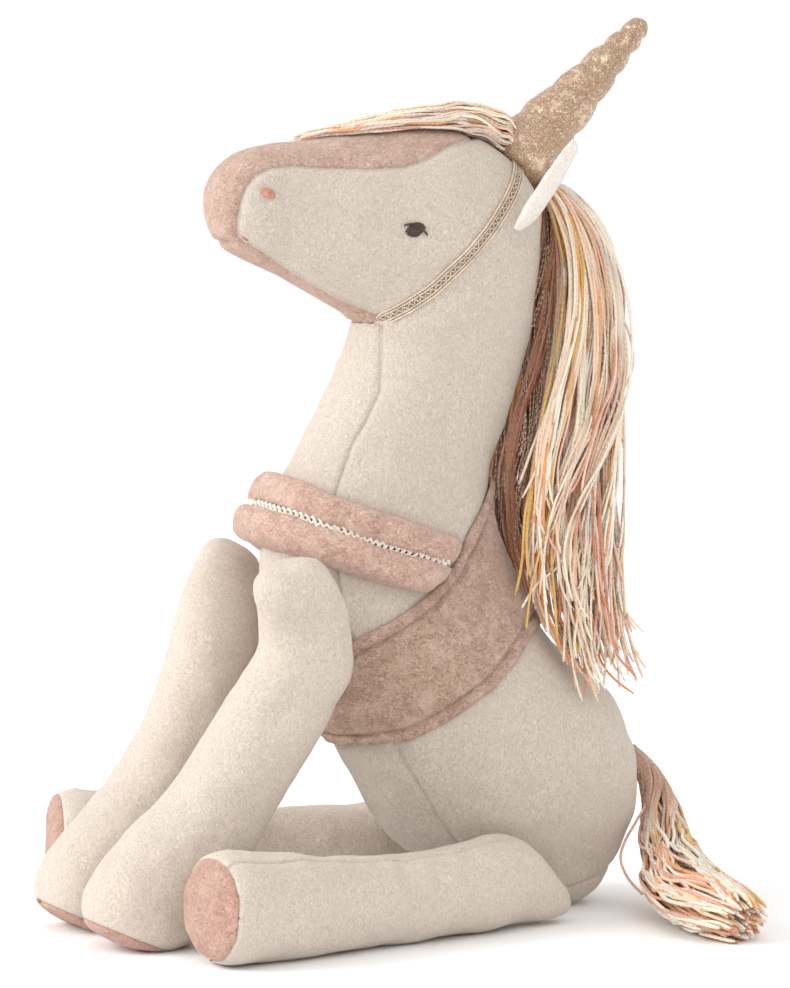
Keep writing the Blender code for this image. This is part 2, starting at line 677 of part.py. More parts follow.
def ear(side):
    root = Vector((side * 31.0, *EAR_ROOT))
    length_axis = Vector((side * 0.03, 0.575, 0.818)).normalized()
    wide_axis = Vector((side * 0.92, -0.39, 0.0))
    wide_axis -= length_axis * wide_axis.dot(length_axis)
    wide_axis.normalize()
    back_axis = length_axis.cross(wide_axis) * side
    rings = []
    for share, half in EAR_LEAF:
        middle = root + length_axis * EAR_LENGTH * share + wide_axis * (half * 0.35 + 1.5)
        ring = []
        for sheet in (0, 1):
            order = range(7) if sheet == 0 else range(6, -1, -1)
            for i in order:
                angle = EAR_CUP * (i / 3 - 1)
                radius = half / math.sin(EAR_CUP) + (EAR_THICK * min(1, half / 4) if sheet else 0)
                ring.append(tuple(middle + wide_axis * radius * math.sin(angle)
                                  + back_axis * radius * (math.cos(angle) - 0.55)))
        rings.append(ring)
    return ring_solid("ear", rings, HELPERS)


# ---- yarn: forelock, mane and tail as the room each bundle of strands fills ----

def bundle(name, stations, count=14):
    """A soft-edged bundle through (middle, half X, half across) stations."""
    middles = [Vector(m) for m, _, _ in stations]
    rings = []
    for k, (_, half_x, half_across) in enumerate(stations):
        ahead = (middles[min(k + 1, len(middles) - 1)] - middles[max(k - 1, 0)]).normalized()
        side = Vector((1, 0, 0)) - ahead * ahead.x
        side.normalize()
        other = ahead.cross(side)
        rings.append([tuple(middles[k] + side * half_x * s + other * half_across * c)
                      for c, s in superellipse(count, 2.2)])
    return ring_solid(name, rings, HELPERS)


forelock = bundle("forelock", FORELOCK, 12)
mane_back = bundle("mane_back", MANE_BACK, 12)
mane_lock = bundle("mane_lock", MANE_LOCK, 14)
wide_body = whole_body(2 * GAP + PILE)
cut(forelock, "DIFFERENCE", on_skin)
cut(mane_back, "DIFFERENCE", wide_body)
cut(forelock, "DIFFERENCE", horn_room, keep=True)
cut(mane_back, "DIFFERENCE", horn_room)


def tail_solid():
    rings = []
    middles = [Vector(m) for m, _, _ in TAIL]
    for k, (middle, across, tall) in enumerate(TAIL):
        ahead = (middles[min(k + 1, len(middles) - 1)] - middles[max(k - 1, 0)]).normalized()
        side = ahead.cross(Vector((0, 0, 1))).normalized()
        other = side.cross(ahead)
        ring = []
        for c, s in superellipse(14, 2.1):
            p = middles[k] + side * across * c + other * tall * s
            ring.append((p.x, p.y, max(p.z, 0.2)))
        rings.append(ring)
    return ring_solid("tail", rings, HELPERS)


finish(saddle, "saddle", "velour")
finish(upper_roll, "strap_upper_roll", "velour")
finish(lower_roll, "strap_lower_roll", "velour")
finish(crochet, "crochet_trim", "thread")
finish(horn_cover, "horn_cover", "gold_cloth")
finish(horn_stuffing, "horn_stuffing", "stuffing")
finish(horn_thread, "horn_thread", "gold_braid")
finish(braid, "bridle_braid", "gold_braid")
for side, end in ((1, "left"), (-1, "right")):
    finish(side_patch("eye", EYE, 4.6, 2.6, 0.7, side), "eye_" + end, "dark_thread")
    finish(side_patch("nostril", NOSTRIL, 3.2, 2.2, 1.4, side), "nostril_" + end, "salmon_thread")
    finish(ear(side), "ear_" + end, "wool", joint("ear_root_" + end, side * 30.5, EAR_ROOT))
finish(forelock, "forelock", "yarn")
finish(mane_back, "mane_back_layer", "yarn")
finish(mane_lock, "mane_lock", "yarn", joint("mane_root", 8, MANE_ROOT))
finish(tail_solid(), "tail", "yarn", joint("tail_root", 0, TAIL_ROOT))

for helper in HELPERS.objects:
    helper.hide_render = True
    helper.display_type = "WIRE"
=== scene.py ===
import math
import random

import bmesh
import bpy
import numpy as np
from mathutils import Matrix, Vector, noise
from mathutils.bvhtree import BVHTree
from mathutils.kdtree import KDTree


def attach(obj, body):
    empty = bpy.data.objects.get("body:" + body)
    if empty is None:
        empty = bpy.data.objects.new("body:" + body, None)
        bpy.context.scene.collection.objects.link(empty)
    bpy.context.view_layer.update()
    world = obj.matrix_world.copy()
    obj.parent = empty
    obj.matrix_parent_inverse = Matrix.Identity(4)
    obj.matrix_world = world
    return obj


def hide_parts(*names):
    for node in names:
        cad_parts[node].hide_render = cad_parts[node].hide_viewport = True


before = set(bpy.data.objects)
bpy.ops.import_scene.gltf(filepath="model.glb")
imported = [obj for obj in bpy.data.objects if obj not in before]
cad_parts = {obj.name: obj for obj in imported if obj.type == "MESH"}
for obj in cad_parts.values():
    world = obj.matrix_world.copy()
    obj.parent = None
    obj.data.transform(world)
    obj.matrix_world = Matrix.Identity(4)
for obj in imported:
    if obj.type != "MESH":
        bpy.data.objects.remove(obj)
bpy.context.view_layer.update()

MM = 0.001

# ---- design lines of the CAD, as (y, z) in millimetres seen from the side ----
FACE_SEAM = [(-41, 309), (-51, 306.5), (-61, 301.7), (-71, 298.5), (-85, 297.8), (-105, 298.2), (-117, 299),
             (-126, 298), (-132, 295.5), (-136, 291), (-138, 285), (-139.3, 278), (-138, 272), (-134, 269.2)]
CHIN_SEAM = [(-134, 269.2), (-127, 265), (-119, 260), (-108, 253.5), (-95, 246.8), (-82, 241.5), (-77, 239)]
THROAT_SEAM = [(-78, 236.7), (-82, 211), (-88.5, 198), (-93, 191), (-102, 171), (-104, 150), (-99, 120),
               (-90, 95), (-76, 66), (-60, 40), (-42, 18)]
SEAT_SEAM = [(-42, 18), (-24, 9.5), (0, 9), (22, 15), (40, 24)]
SADDLE_FRONT = [(-20, 186), (-46.5, 155), (-56, 141), (-68, 130), (-82, 121), (-96, 113.5), (-112, 101),
                (-130, 92)]
SADDLE_REAR = [(-128, 68), (-108, 68.5), (-92.5, 70), (-74, 73.5), (-60, 81), (-41.5, 92.5), (-30, 103),
               (-20, 112), (-2, 118), (14, 124)]
SADDLE_BEHIND = [(14, 150), (-8, 190)]
STRAP_CHAIN = [(-160, 175), (-129, 167.5), (-114.5, 161.5), (-101, 155.8), (-87, 151), (-73, 146.5),
               (-58, 141.8)]
BRAID = [(-10, 309), (-19, 296.5), (-29, 283.5), (-37.5, 272.8), (-48, 262), (-61, 249.5), (-74, 240.5),
         (-78, 238.2)]
FACE_AREA = [(-30, 340), (-170, 340), (-170, 269.2)] + FACE_SEAM[::-1] + [(-34, 311)]
CHIN_AREA = [(-170, 268.9), (-170, 237), (-80, 237)] + CHIN_SEAM[::-1]
THROAT_AREA = [(-200, 236.7), (-200, -20), (-50, -20)] + THROAT_SEAM[::-1]
SEAT_AREA = [(-60, -20), (60, -20), (60, 24)] + SEAT_SEAM[::-1] + [(-60, 22)]
SADDLE_AREA = SADDLE_FRONT + SADDLE_REAR + SADDLE_BEHIND
PANEL_THICKNESS, SADDLE_THICKNESS = 0.0012, 0.0016
PLAIN = (1.0, 1.0, 1.0)           # strand colour where the material brings its own

# ---- copper layer of the mane: middle (x, y, z), half sizes along X and across it, in millimetres ----
MANE_BACK = [((-4, 0, 291), 5, 5), ((-6, 3, 280), 7, 8), ((-7, 4, 262), 8, 10), ((-7, 3, 238), 8, 12),
             ((-7, -1, 214), 8, 13), ((-7, -6, 194), 8, 13), ((-7, -10, 172), 8, 13), ((-7, -10, 150), 8, 12),
             ((-7, -5, 132), 7, 10), ((-6, 0, 120), 4, 6)]


# ---------------------------------------------------------------- materials

def linear(*rgb):
    """Linear colour of an sRGB one given from 0 to 255."""
    return tuple(((c / 255 + 0.055) / 1.055) ** 2.4 if c > 10 else c / 255 / 12.92 for c in rgb)


class Look:
    """A node material under construction, on object coordinates in metres."""

    def __init__(self, name, roughness, metallic=0.0, sheen=0.0, sheen_tint=(1, 1, 1), sheen_roughness=0.5):
        self.material = bpy.data.materials.new(name)
        self.material.use_nodes = True
        self.tree = self.material.node_tree
        self.shader = self.tree.nodes["Principled BSDF"]
        self.shader.inputs["Roughness"].default_value = roughness
        self.shader.inputs["Metallic"].default_value = metallic
        self.shader.inputs["Sheen Weight"].default_value = sheen
        self.shader.inputs["Sheen Roughness"].default_value = sheen_roughness
        self.shader.inputs["Sheen Tint"].default_value = (*sheen_tint, 1)
        self.where = self.add("ShaderNodeTexCoord").outputs["Object"]

    def add(self, kind, **settings):
        node = self.tree.nodes.new(kind)
        for key, value in settings.items():
            setattr(node, key, value)
        return node

    def link(self, out, into):
        self.tree.links.new(out, into)

    def scaled(self, scale):
        """Object coordinates stretched by (x, y, z)."""
        mapping = self.add("ShaderNodeMapping")
        mapping.inputs["Scale"].default_value = scale
        self.link(self.where, mapping.inputs["Vector"])
        return mapping.outputs["Vector"]

    def noise(self, size, detail=3.0, roughness=0.55, distortion=0.0, vector=None):
        """Noise with features about size metres across."""
        node = self.add("ShaderNodeTexNoise")
        node.inputs["Scale"].default_value = 1 / size
        node.inputs["Detail"].default_value = detail
        node.inputs["Roughness"].default_value = roughness
        node.inputs["Distortion"].default_value = distortion
        self.link(vector or self.where, node.inputs["Vector"])
        return node.outputs["Fac"]

    def cells(self, size):
        """A random colour for each of many small cells about size metres across."""
        node = self.add("ShaderNodeTexVoronoi")
        node.inputs["Scale"].default_value = 1 / size
        self.link(self.where, node.inputs["Vector"])
        return node.outputs["Color"]

    def ramp(self, value, stops):
        """Colour or grey from a value, through (position, colour) stops."""
        node = self.add("ShaderNodeValToRGB")
        band = node.color_ramp
        while len(band.elements) < len(stops):
            band.elements.new(0.5)
        for element, (position, colour) in zip(band.elements, stops):
            element.position = position
            element.color = (*colour, 1) if len(colour) == 3 else (colour[0],) * 3 + (1,)
        self.link(value, node.inputs["Fac"])
        return node.outputs["Color"]

    def mix(self, factor, a, b, blend="MIX"):
        """Colours a and b mixed. The factor, a and b are each an output or a constant."""
        node = self.add("ShaderNodeMix", data_type="RGBA", blend_type=blend)
        for socket, value in ((node.inputs[0], factor), (node.inputs[6], a), (node.inputs[7], b)):
            if isinstance(value, (float, int)):
                socket.default_value = value
            elif isinstance(value, tuple):
                socket.default_value = (*value, 1)
            else:
                self.link(value, socket)
        return node.outputs[2]

    def maths(self, operation, a, b=0.0):
        node = self.add("ShaderNodeMath", operation=operation)
        for socket, value in zip(node.inputs, (a, b)):
            if isinstance(value, (float, int)):
                socket.default_value = value
            else:
                self.link(value, socket)
        return node.outputs[0]

    def colour(self, out):
        self.link(out, self.shader.inputs["Base Color"])

    def bump(self, height, depth, strength=1.0, under=None):
        """Relief of depth metres. under is a coarser relief below it."""
        node = self.add("ShaderNodeBump")
        node.inputs["Distance"].default_value = depth
        node.inputs["Strength"].default_value = strength
        self.link(height, node.inputs["Height"])
        if under is not None:
            self.link(under, node.inputs["Normal"])
        self.link(node.outputs["Normal"], self.shader.inputs["Normal"])
        return node.outputs["Normal"]


def wool_felt(name, base, shade):
    """Brushed wool felt: heathered fibres over a darker ground, soft nap and faint large stains of tone."""
    look = Look(name, 0.93, sheen=0.3, sheen_tint=(1, 0.97, 0.93), sheen_roughness=0.45)
    fibres = look.noise(0.0008, 5, 0.7, 1.3, look.scaled((1.0, 1.0, 0.62)))
    flecks = look.noise(0.0013, 4, 0.66, 2.2)
    patches = look.noise(0.02, 3, 0.55)
    tone = look.ramp(fibres, [(0.33, tuple(c * 0.70 for c in base)), (0.5, base),
                              (0.65, tuple(min(1, c * 1.25) for c in base))])
    dark = look.ramp(flecks, [(0.53, (0,)), (0.66, (1,))])
    tone = look.mix(look.maths("MULTIPLY", dark, 0.36), tone, shade)
    tone = look.mix(look.ramp(patches, [(0.35, (0,)), (0.7, (0.3,))]), tone, tuple(c * 0.9 for c in base))
    look.colour(tone)
    coarse = look.bump(look.noise(0.0035, 3, 0.6), 0.0006, 0.4)
    look.bump(fibres, 0.0007, 0.95, coarse)
    return look.material


def velour(name, base, deep, light):
    """Short-pile velour: patches where the nap lies differently, over a curly fine pile."""
    look = Look(name, 0.85, sheen=0.75, sheen_tint=(1, 0.84, 0.78), sheen_roughness=0.35)
    nap = look.noise(0.0075, 4, 0.62, 0.8)
    pile = look.noise(0.0009, 4, 0.7, 1.6)
    clumps = look.noise(0.0017, 4, 0.68, 1.8, look.scaled((1.0, 0.8, 1.2)))
    tone = look.ramp(clumps, [(0.34, deep), (0.5, base), (0.66, light)])
    tone = look.mix(look.ramp(pile, [(0.38, (0.75,)), (0.55, (0,))]), tone, deep)
    tone = look.mix(look.ramp(nap, [(0.48, (0,)), (0.66, (0.42,))]), tone, light)
    tone = look.mix(look.ramp(nap, [(0.30, (0.35,)), (0.44, (0,))]), tone, deep)
    look.colour(tone)
    coarse = look.bump(clumps, 0.0013, 0.75)
    look.bump(pile, 0.0009, 0.95, coarse)
    return look.material


def gold_cloth():
    """Glitter lame: a woven gold ground with fine scattered bright facets, and patches of painted glare where
    the colour turns near-white gold as a painted highlight.
    """
    look = Look("gold_lame", 0.36, metallic=0.62, sheen=0.1)
    facets = look.cells(0.00042)
    sparkle = look.ramp(look.noise(0.0011, 2, 0.6), [(0.45, (0,)), (0.62, (1,))])
    split = look.add("ShaderNodeSeparateColor")
    look.link(facets, split.inputs[0])
    gold = look.ramp(split.outputs[0], [(0.0, linear(146, 117, 94)), (0.5, linear(178, 147, 122)),
                                        (0.92, linear(198, 169, 142)), (1.0, linear(250, 232, 206))])
    # painted highlight: large noise patches mix the gold towards a near-white gold, standing for glare from
    # the lamp
    painted_glare = look.ramp(look.noise(0.0062, 3, 0.6), [(0.56, (0,)), (0.66, (0.65,))])
    bright = look.ramp(split.outputs[2], [(0.35, linear(214, 184, 156)), (0.7, linear(255, 240, 212))])
    gold = look.mix(painted_glare, gold, bright)
    look.colour(gold)
    rough = look.mix(sparkle, (0.42, 0.42, 0.42), (0.26, 0.26, 0.26))
    look.link(rough, look.shader.inputs["Roughness"])
    coarse = look.bump(split.outputs[1], 0.00022, 0.7)
    look.bump(look.noise(0.0020, 3, 0.6), 0.0005, 0.5, coarse)
    return look.material


def strand_look(name, roughness=0.85, metallic=0.0, sheen=0.25, twist=1300.0, tint=None, through=0.0):
    """Twisted yarn: its colour comes with the strand, and fine ply lines run round it, with painted shade in
    the grooves between the plies.

    through is the share of light that passes into the fibres.
    """
    look = Look(name, roughness, metallic=metallic, sheen=sheen)
    look.shader.inputs["Subsurface Weight"].default_value = through
    look.shader.inputs["Subsurface Radius"].default_value = (1.0, 1.0, 1.0)
    look.shader.inputs["Subsurface Scale"].default_value = 0.0006
    uv = look.add("ShaderNodeUVMap", uv_map="strand")
    parts = look.add("ShaderNodeSeparateXYZ")
    look.link(uv.outputs[0], parts.inputs[0])
    around = look.maths("MULTIPLY", parts.outputs[0], 4 * math.pi)
    phase = look.maths("ADD", around, look.maths("MULTIPLY", parts.outputs[1], twist * 2))
    ply = look.maths("SINE", phase)
    if tint is None:
        base = look.add("ShaderNodeAttribute", attribute_name="yarn_colour").outputs["Color"]
    else:
        base = look.ramp(look.noise(0.003, 3, 0.6), [(0.35, tuple(c * 0.75 for c in tint)), (0.6, tint)])
    # painted shade: the colour darkens to 0.93 where the ply relief is low, in the grooves between the plies
    grey = look.ramp(look.maths("MULTIPLY_ADD", ply, 0.5), [(0.0, (0.93,)), (0.6, (1,))])
    tone = look.mix(1.0, base, grey, "MULTIPLY")
    fuzz = look.noise(0.0009, 3, 0.65, 0.5)
    tone = look.mix(1.0, tone, look.ramp(fuzz, [(0.3, (0.9,)), (0.7, (1.0,))]), "MULTIPLY")
    look.colour(tone)
    look.bump(ply, 0.00016, 0.7)
    return look.material


WOOL = wool_felt("wool_felt", linear(211, 198, 184), linear(166, 148, 131))
WOOL_LEG = wool_felt("wool_felt_leg", linear(217, 203, 189), linear(174, 155, 137))
WOOL_EAR = wool_felt("wool_felt_ear", linear(250, 240, 228), linear(214, 201, 188))
PINK = velour("pink_velour", linear(216, 178, 156), linear(160, 118, 97), linear(244, 212, 192))
PINK_STRAP = velour("pink_velour_strap", linear(238, 198, 178), linear(184, 136, 115), linear(255, 226, 208))
PINK_FACE = velour("pink_velour_face", linear(224, 187, 166), linear(178, 136, 115), linear(244, 213, 195))
PINK_SOLE = velour("pink_velour_sole", linear(224, 173, 152), linear(178, 126, 105), linear(242, 204, 184))
GOLD = gold_cloth()
YARN = strand_look("cotton_yarn", through=0.4)
TINSEL = strand_look("tinsel", roughness=0.25, metallic=0.85, sheen=0.0, tint=linear(255, 226, 200))
CHAIN_YARN = strand_look("crochet_cotton", tint=linear(250, 238, 224))
GOLD_YARN = strand_look("gold_thread", roughness=0.42, metallic=0.35, sheen=0.2, twist=2600.0,
                        tint=linear(238, 216, 192))
DARK_YARN = strand_look("eye_floss", roughness=0.5, sheen=0.1, tint=linear(74, 58, 46))
SALMON_YARN = strand_look("nostril_floss", roughness=0.6, tint=linear(214, 150, 124))


# ---------------------------------------------------------------- meshes

def points_of(mesh):
    co = np.empty(len(mesh.vertices) * 3)
    mesh.vertices.foreach_get("co", co)
    return co.reshape(-1, 3)


def set_points(mesh, co):
    mesh.vertices.foreach_set("co", np.ascontiguousarray(co, np.float32).ravel())
    mesh.update()


def normals_of(mesh):
    out = np.empty(len(mesh.vertices) * 3, np.float32)
    mesh.vertex_normals.foreach_get("vector", out)
    return out.reshape(-1, 3).astype(float)


def edges_of(mesh):
    out = np.empty(len(mesh.edges) * 2, np.int32)
    mesh.edges.foreach_get("vertices", out)
    return out.reshape(-1, 2)


def placed(name, mesh):
    thing = bpy.data.objects.new(name, mesh)
    bpy.context.scene.collection.objects.link(thing)
    return thing


def joined(name, *nodes):
    """One object holding copies of CAD nodes."""
    work = bmesh.new()
    for node in nodes:
        work.from_mesh(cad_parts[node].data)
    bmesh.ops.remove_doubles(work, verts=work.verts, dist=1e-6)
    mesh = bpy.data.meshes.new(name)
    work.to_mesh(mesh)
    work.free()
    mesh.materials.clear()
    return placed(name, mesh)


def applied(thing):
    """Applies the object's modifiers."""
    bpy.context.view_layer.update()
    graph = bpy.context.evaluated_depsgraph_get()
    mesh = bpy.data.meshes.new_from_object(thing.evaluated_get(graph))
    thing.modifiers.clear()
    thing.data = mesh
    return thing


def modified(thing, kind, **settings):
    step = thing.modifiers.new(kind.lower(), kind)
    for key, value in settings.items():
        setattr(step, key, value)
    return applied(thing)


def neighbour_sum(edges, values):
    """The sum of the values at each point's neighbours."""
    return (np.bincount(edges[:, 0], values[edges[:, 1]], len(values))
            + np.bincount(edges[:, 1], values[edges[:, 0]], len(values)))


def relaxed(thing, times, factor=0.5):
    """Evens the surface without much shrinking, by smoothing forwards and back."""
    co, edges = points_of(thing.data), edges_of(thing.data)
    count = np.bincount(edges.ravel(), minlength=len(co)).clip(1)[:, None]
    for _ in range(times):
        for amount in (factor, -factor * 0.9):
            total = np.stack([neighbour_sum(edges, co[:, k]) for k in range(3)], 1)
            co = co + amount * (total / count - co)
    set_points(thing.data, co)
    return thing


def even_field(field, thing, times):
    """A number per point, averaged with its neighbours."""
    edges = edges_of(thing.data)
    count = np.bincount(edges.ravel(), minlength=len(field)).clip(1)
    for _ in range(times):
        field = (field + neighbour_sum(edges, field) / count) / 2
    return field


def even_form(name, nodes, voxel, times, factor=0.5):
    """The CAD nodes' shape as one skin of even quads."""
    thing = modified(joined(name, *nodes), "REMESH", mode="VOXEL", voxel_size=voxel, adaptivity=0.0)
    return relaxed(thing, times, factor)


def padded_form(name, nodes, voxel, hold, pressure, most, shrink):
    """A stuffed form: the CAD nodes' shape in even quads, blown up a little by cloth simulation.

    hold(points) gives 1 where the cloth is sewn or strapped down and 0 where it is free.
    """
    thing = even_form(name, nodes, voxel, 7)
    rest = points_of(thing.data)
    held = hold(rest)
    set_points(thing.data, rest - normals_of(thing.data) * shrink * (1 - held)[:, None])
    blown_up(thing, held, pressure, most)
    thing = modified(thing, "SUBSURF", levels=2, render_levels=2)
    return thing


def blown_up(thing, held, pressure, most, frames=18):
    """Cloth simulation with pressure inside. No point moves further than most."""
    before = points_of(thing.data)
    group = thing.vertex_groups.new(name="hold")
    for index, value in enumerate(held):
        if value > 0.01:
            group.add([index], float(value), "REPLACE")
    step = thing.modifiers.new("pad", "CLOTH")
    cloth = step.settings
    cloth.quality = 4
    cloth.mass = 0.12
    cloth.tension_stiffness = 18
    cloth.compression_stiffness = 12
    cloth.shear_stiffness = 6
    cloth.bending_stiffness = 0.6
    cloth.air_damping = 3
    cloth.use_pressure = True
    cloth.uniform_pressure_force = pressure
    cloth.effector_weights.gravity = 0
    cloth.vertex_group_mass = "hold"
    cloth.pin_stiffness = 6
    step.collision_settings.use_collision = False
    step.point_cache.frame_start, step.point_cache.frame_end = 1, frames
    scene = bpy.context.scene
    for number in range(1, frames + 1):
        scene.frame_set(number)
    graph = bpy.context.evaluated_depsgraph_get()
    after = points_of(thing.evaluated_get(graph).data)
    thing.modifiers.clear()
    thing.vertex_groups.clear()
    scene.frame_set(1)
    move = np.nan_to_num(after - before)
    length = np.linalg.norm(move, axis=1, keepdims=True)
    set_points(thing.data, before + move * np.minimum(1, most / length.clip(1e-9)))
    relaxed(thing, 2)


def to_segment(p, a, b):
    """Distance of each point from the segment between a and b."""
    ab = b - a
    t = np.clip(((p - a) @ ab) / (ab @ ab), 0, 1)
    return np.linalg.norm(p - a - t[:, None] * ab, axis=1)


def inside(outline, co):
    """Signed distance in metres to a (y, z) outline in millimetres: negative inside it, seen along X."""
    p = co[:, 1:3]
    corners = np.array(outline, float) * MM
    sides = list(zip(corners, np.roll(corners, -1, axis=0)))
    nearest = np.minimum.reduce([to_segment(p, a, b) for a, b in sides])
    odd = np.zeros(len(p), bool)
    for a, b in sides:
        ab = b - a
        crosses = (a[1] > p[:, 1]) != (b[1] > p[:, 1])
        at = a[0] + (p[:, 1] - a[1]) * ab[0] / (ab[1] if abs(ab[1]) > 1e-12 else 1e-12)
        odd ^= crosses & (p[:, 0] < at)
    return np.where(odd, -nearest, nearest)


def line_distance(line, co, axes=(1, 2)):
    """Distance in metres to an open line in millimetres, seen along the third axis."""
    p = co[:, axes]
    points = np.array(line, float) * MM
    return np.minimum.reduce([to_segment(p, a, b) for a, b in zip(points, points[1:])])


def split_along(thing, field, name):
    """Cuts the mesh along field = 0. What has field < 0 becomes a new object, and thing keeps the rest."""
    field = np.where(np.abs(field) < 2e-6, 2e-6, field)
    work = bmesh.new()
    work.from_mesh(thing.data)
    layer = work.verts.layers.float.get("cut") or work.verts.layers.float.new("cut")
    work.verts.ensure_lookup_table()
    for vert, value in zip(work.verts, field):
        vert[layer] = value
    crossing = [e for e in work.edges if e.verts[0][layer] * e.verts[1][layer] < 0]
    fresh = []
    for edge in crossing:
        a, b = edge.verts
        share = a[layer] / (a[layer] - b[layer])
        vert = bmesh.utils.edge_split(edge, a, min(0.95, max(0.05, share)))[1]
        vert[layer] = 0.0
        fresh.append(vert)
    bmesh.ops.connect_verts(work, verts=fresh)
    within = [f for f in work.faces if sum(v[layer] for v in f.verts) < 0]
    other = work.copy()
    other_layer = other.verts.layers.float["cut"]
    outside = [f for f in other.faces if sum(v[other_layer] for v in f.verts) >= 0]
    bmesh.ops.delete(work, geom=within, context="FACES")
    bmesh.ops.delete(other, geom=outside, context="FACES")
    for half in (work, other):
        rim = [v for v in half.verts if v.is_boundary]
        bmesh.ops.remove_doubles(half, verts=rim, dist=0.0005)
    part = bpy.data.meshes.new(name)
    other.to_mesh(part)
    work.to_mesh(thing.data)
    work.free()
    other.free()
    thing.data.update()
    return placed(name, part)


def refined(thing, distance, reach):
    """Halves the quads closer than reach to where distance is 0, so that a seam shows crisply."""
    work = bmesh.new()
    work.from_mesh(thing.data)
    work.verts.ensure_lookup_table()
    near = [e for e in work.edges if all(distance[v.index] < reach for v in e.verts)]
    bmesh.ops.subdivide_edges(work, edges=near, cuts=1, use_grid_fill=True)
    work.to_mesh(thing.data)
    work.free()
    return thing


def above_floor(thing):
    co = points_of(thing.data)
    co[:, 2] = np.maximum(co[:, 2], 0.0)
    set_points(thing.data, co)


def sheet_of(thing, thickness, outward=0.0):
    """Gives an open skin its cloth thickness, inward from where it is."""
    if outward:
        set_points(thing.data, points_of(thing.data) + normals_of(thing.data) * outward)
    return modified(thing, "SOLIDIFY", thickness=thickness, offset=-1.0, use_even_offset=False)


def lumps(thing, size, depth, seed):
    """Soft unevenness of a stuffed thing, along its normals."""
    co, out = points_of(thing.data), normals_of(thing.data)
    shift = Vector((seed * 3.1, seed * 1.7, seed * 0.9))
    height = np.array([noise.noise(Vector(p) / size + shift) for p in co]) * depth
    set_points(thing.data, co + out * height[:, None])
    return thing


def pressed(thing, distance, width, depth):
    """A groove of this half width and depth where distance is near 0."""
    share = np.clip(1 - distance / width, 0, 1)
    height = depth * (1 - np.sqrt(np.clip(1 - share ** 2, 0, 1)))
    set_points(thing.data, points_of(thing.data) - normals_of(thing.data) * height[:, None])
    return thing


def kd_tree(points):
    tree = KDTree(len(points))
    for index, p in enumerate(points):
        tree.insert(Vector(p), index)
    tree.balance()
    return tree


def crease(thing, path, width, depth):
    """A fold along a 3-D line in millimetres: a valley with soft ridges beside it, fading at both ends."""
    ridge, ridge_at = 0.35, 2.1        # height as a share of the depth, and distance in widths
    line = np.array(path, float) * MM
    dense = np.concatenate([a + (b - a) * np.linspace(0, 1, 12, endpoint=False)[:, None]
                            for a, b in zip(line, line[1:])] + [line[-1:]])
    tree = kd_tree(dense)
    co, out = points_of(thing.data), normals_of(thing.data)
    low, high = dense.min(0) - 4 * width, dense.max(0) + 4 * width
    near = np.nonzero(((co > low) & (co < high)).all(1))[0]
    height = np.zeros(len(co))
    for index in near:
        _, at, far = tree.find(Vector(co[index]))
        end = math.sin(math.pi * (0.08 + 0.84 * at / (len(dense) - 1))) ** 0.7
        u = far / width
        height[index] = end * depth * (-math.exp(-u * u) + ridge * math.exp(-((u - ridge_at) ** 2)))
    set_points(thing.data, co + out * height[:, None])
    return thing


def folded(thing, folds, side):
    """Creases a thing on one side of the toy. The folds are given for the left side."""
    for path, width, depth in folds:
        crease(thing, [(side * x, y, z) for x, y, z in path], width, depth)


def dress(thing, look, body, stands_for=()):
    """Gives a finished piece its material and body, and hides the CAD nodes it stands for."""
    above_floor(thing)
    thing.data.materials.clear()
    thing.data.materials.append(look)
    thing.data.shade_smooth()
    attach(thing, body)
    if stands_for:
        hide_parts(*stands_for)
    return thing


# ---------------------------------------------------------------- strands

def run_along(points):
    """Length along a line from its first point to each point."""
    return np.concatenate([[0], np.cumsum(np.linalg.norm(np.diff(points, axis=0), axis=1))])


def ahead_of(points):
    """Unit direction of a line at each of its points."""
    ahead = np.gradient(points, axis=0)
    return ahead / np.linalg.norm(ahead, axis=1, keepdims=True).clip(1e-12)


def smooth_line(points, count):
    """The points on an even Catmull-Rom curve of count points."""
    p = np.array(points, float)
    p = np.concatenate([[2 * p[0] - p[1]], p, [2 * p[-1] - p[-2]]])
    fine = []
    for k in range(1, len(p) - 2):
        for t in np.linspace(0, 1, 16, endpoint=False):
            fine.append(0.5 * (2 * p[k] + (p[k + 1] - p[k - 1]) * t
                               + (2 * p[k - 1] - 5 * p[k] + 4 * p[k + 1] - p[k + 2]) * t * t
                               + (3 * p[k] - p[k - 1] - 3 * p[k + 1] + p[k + 2]) * t ** 3))
    fine = np.array(fine + [p[-2]])
    run = run_along(fine[:, :3])
    at = np.linspace(0, run[-1], count)
    return np.stack([np.interp(at, run, fine[:, k]) for k in range(fine.shape[1])], 1)


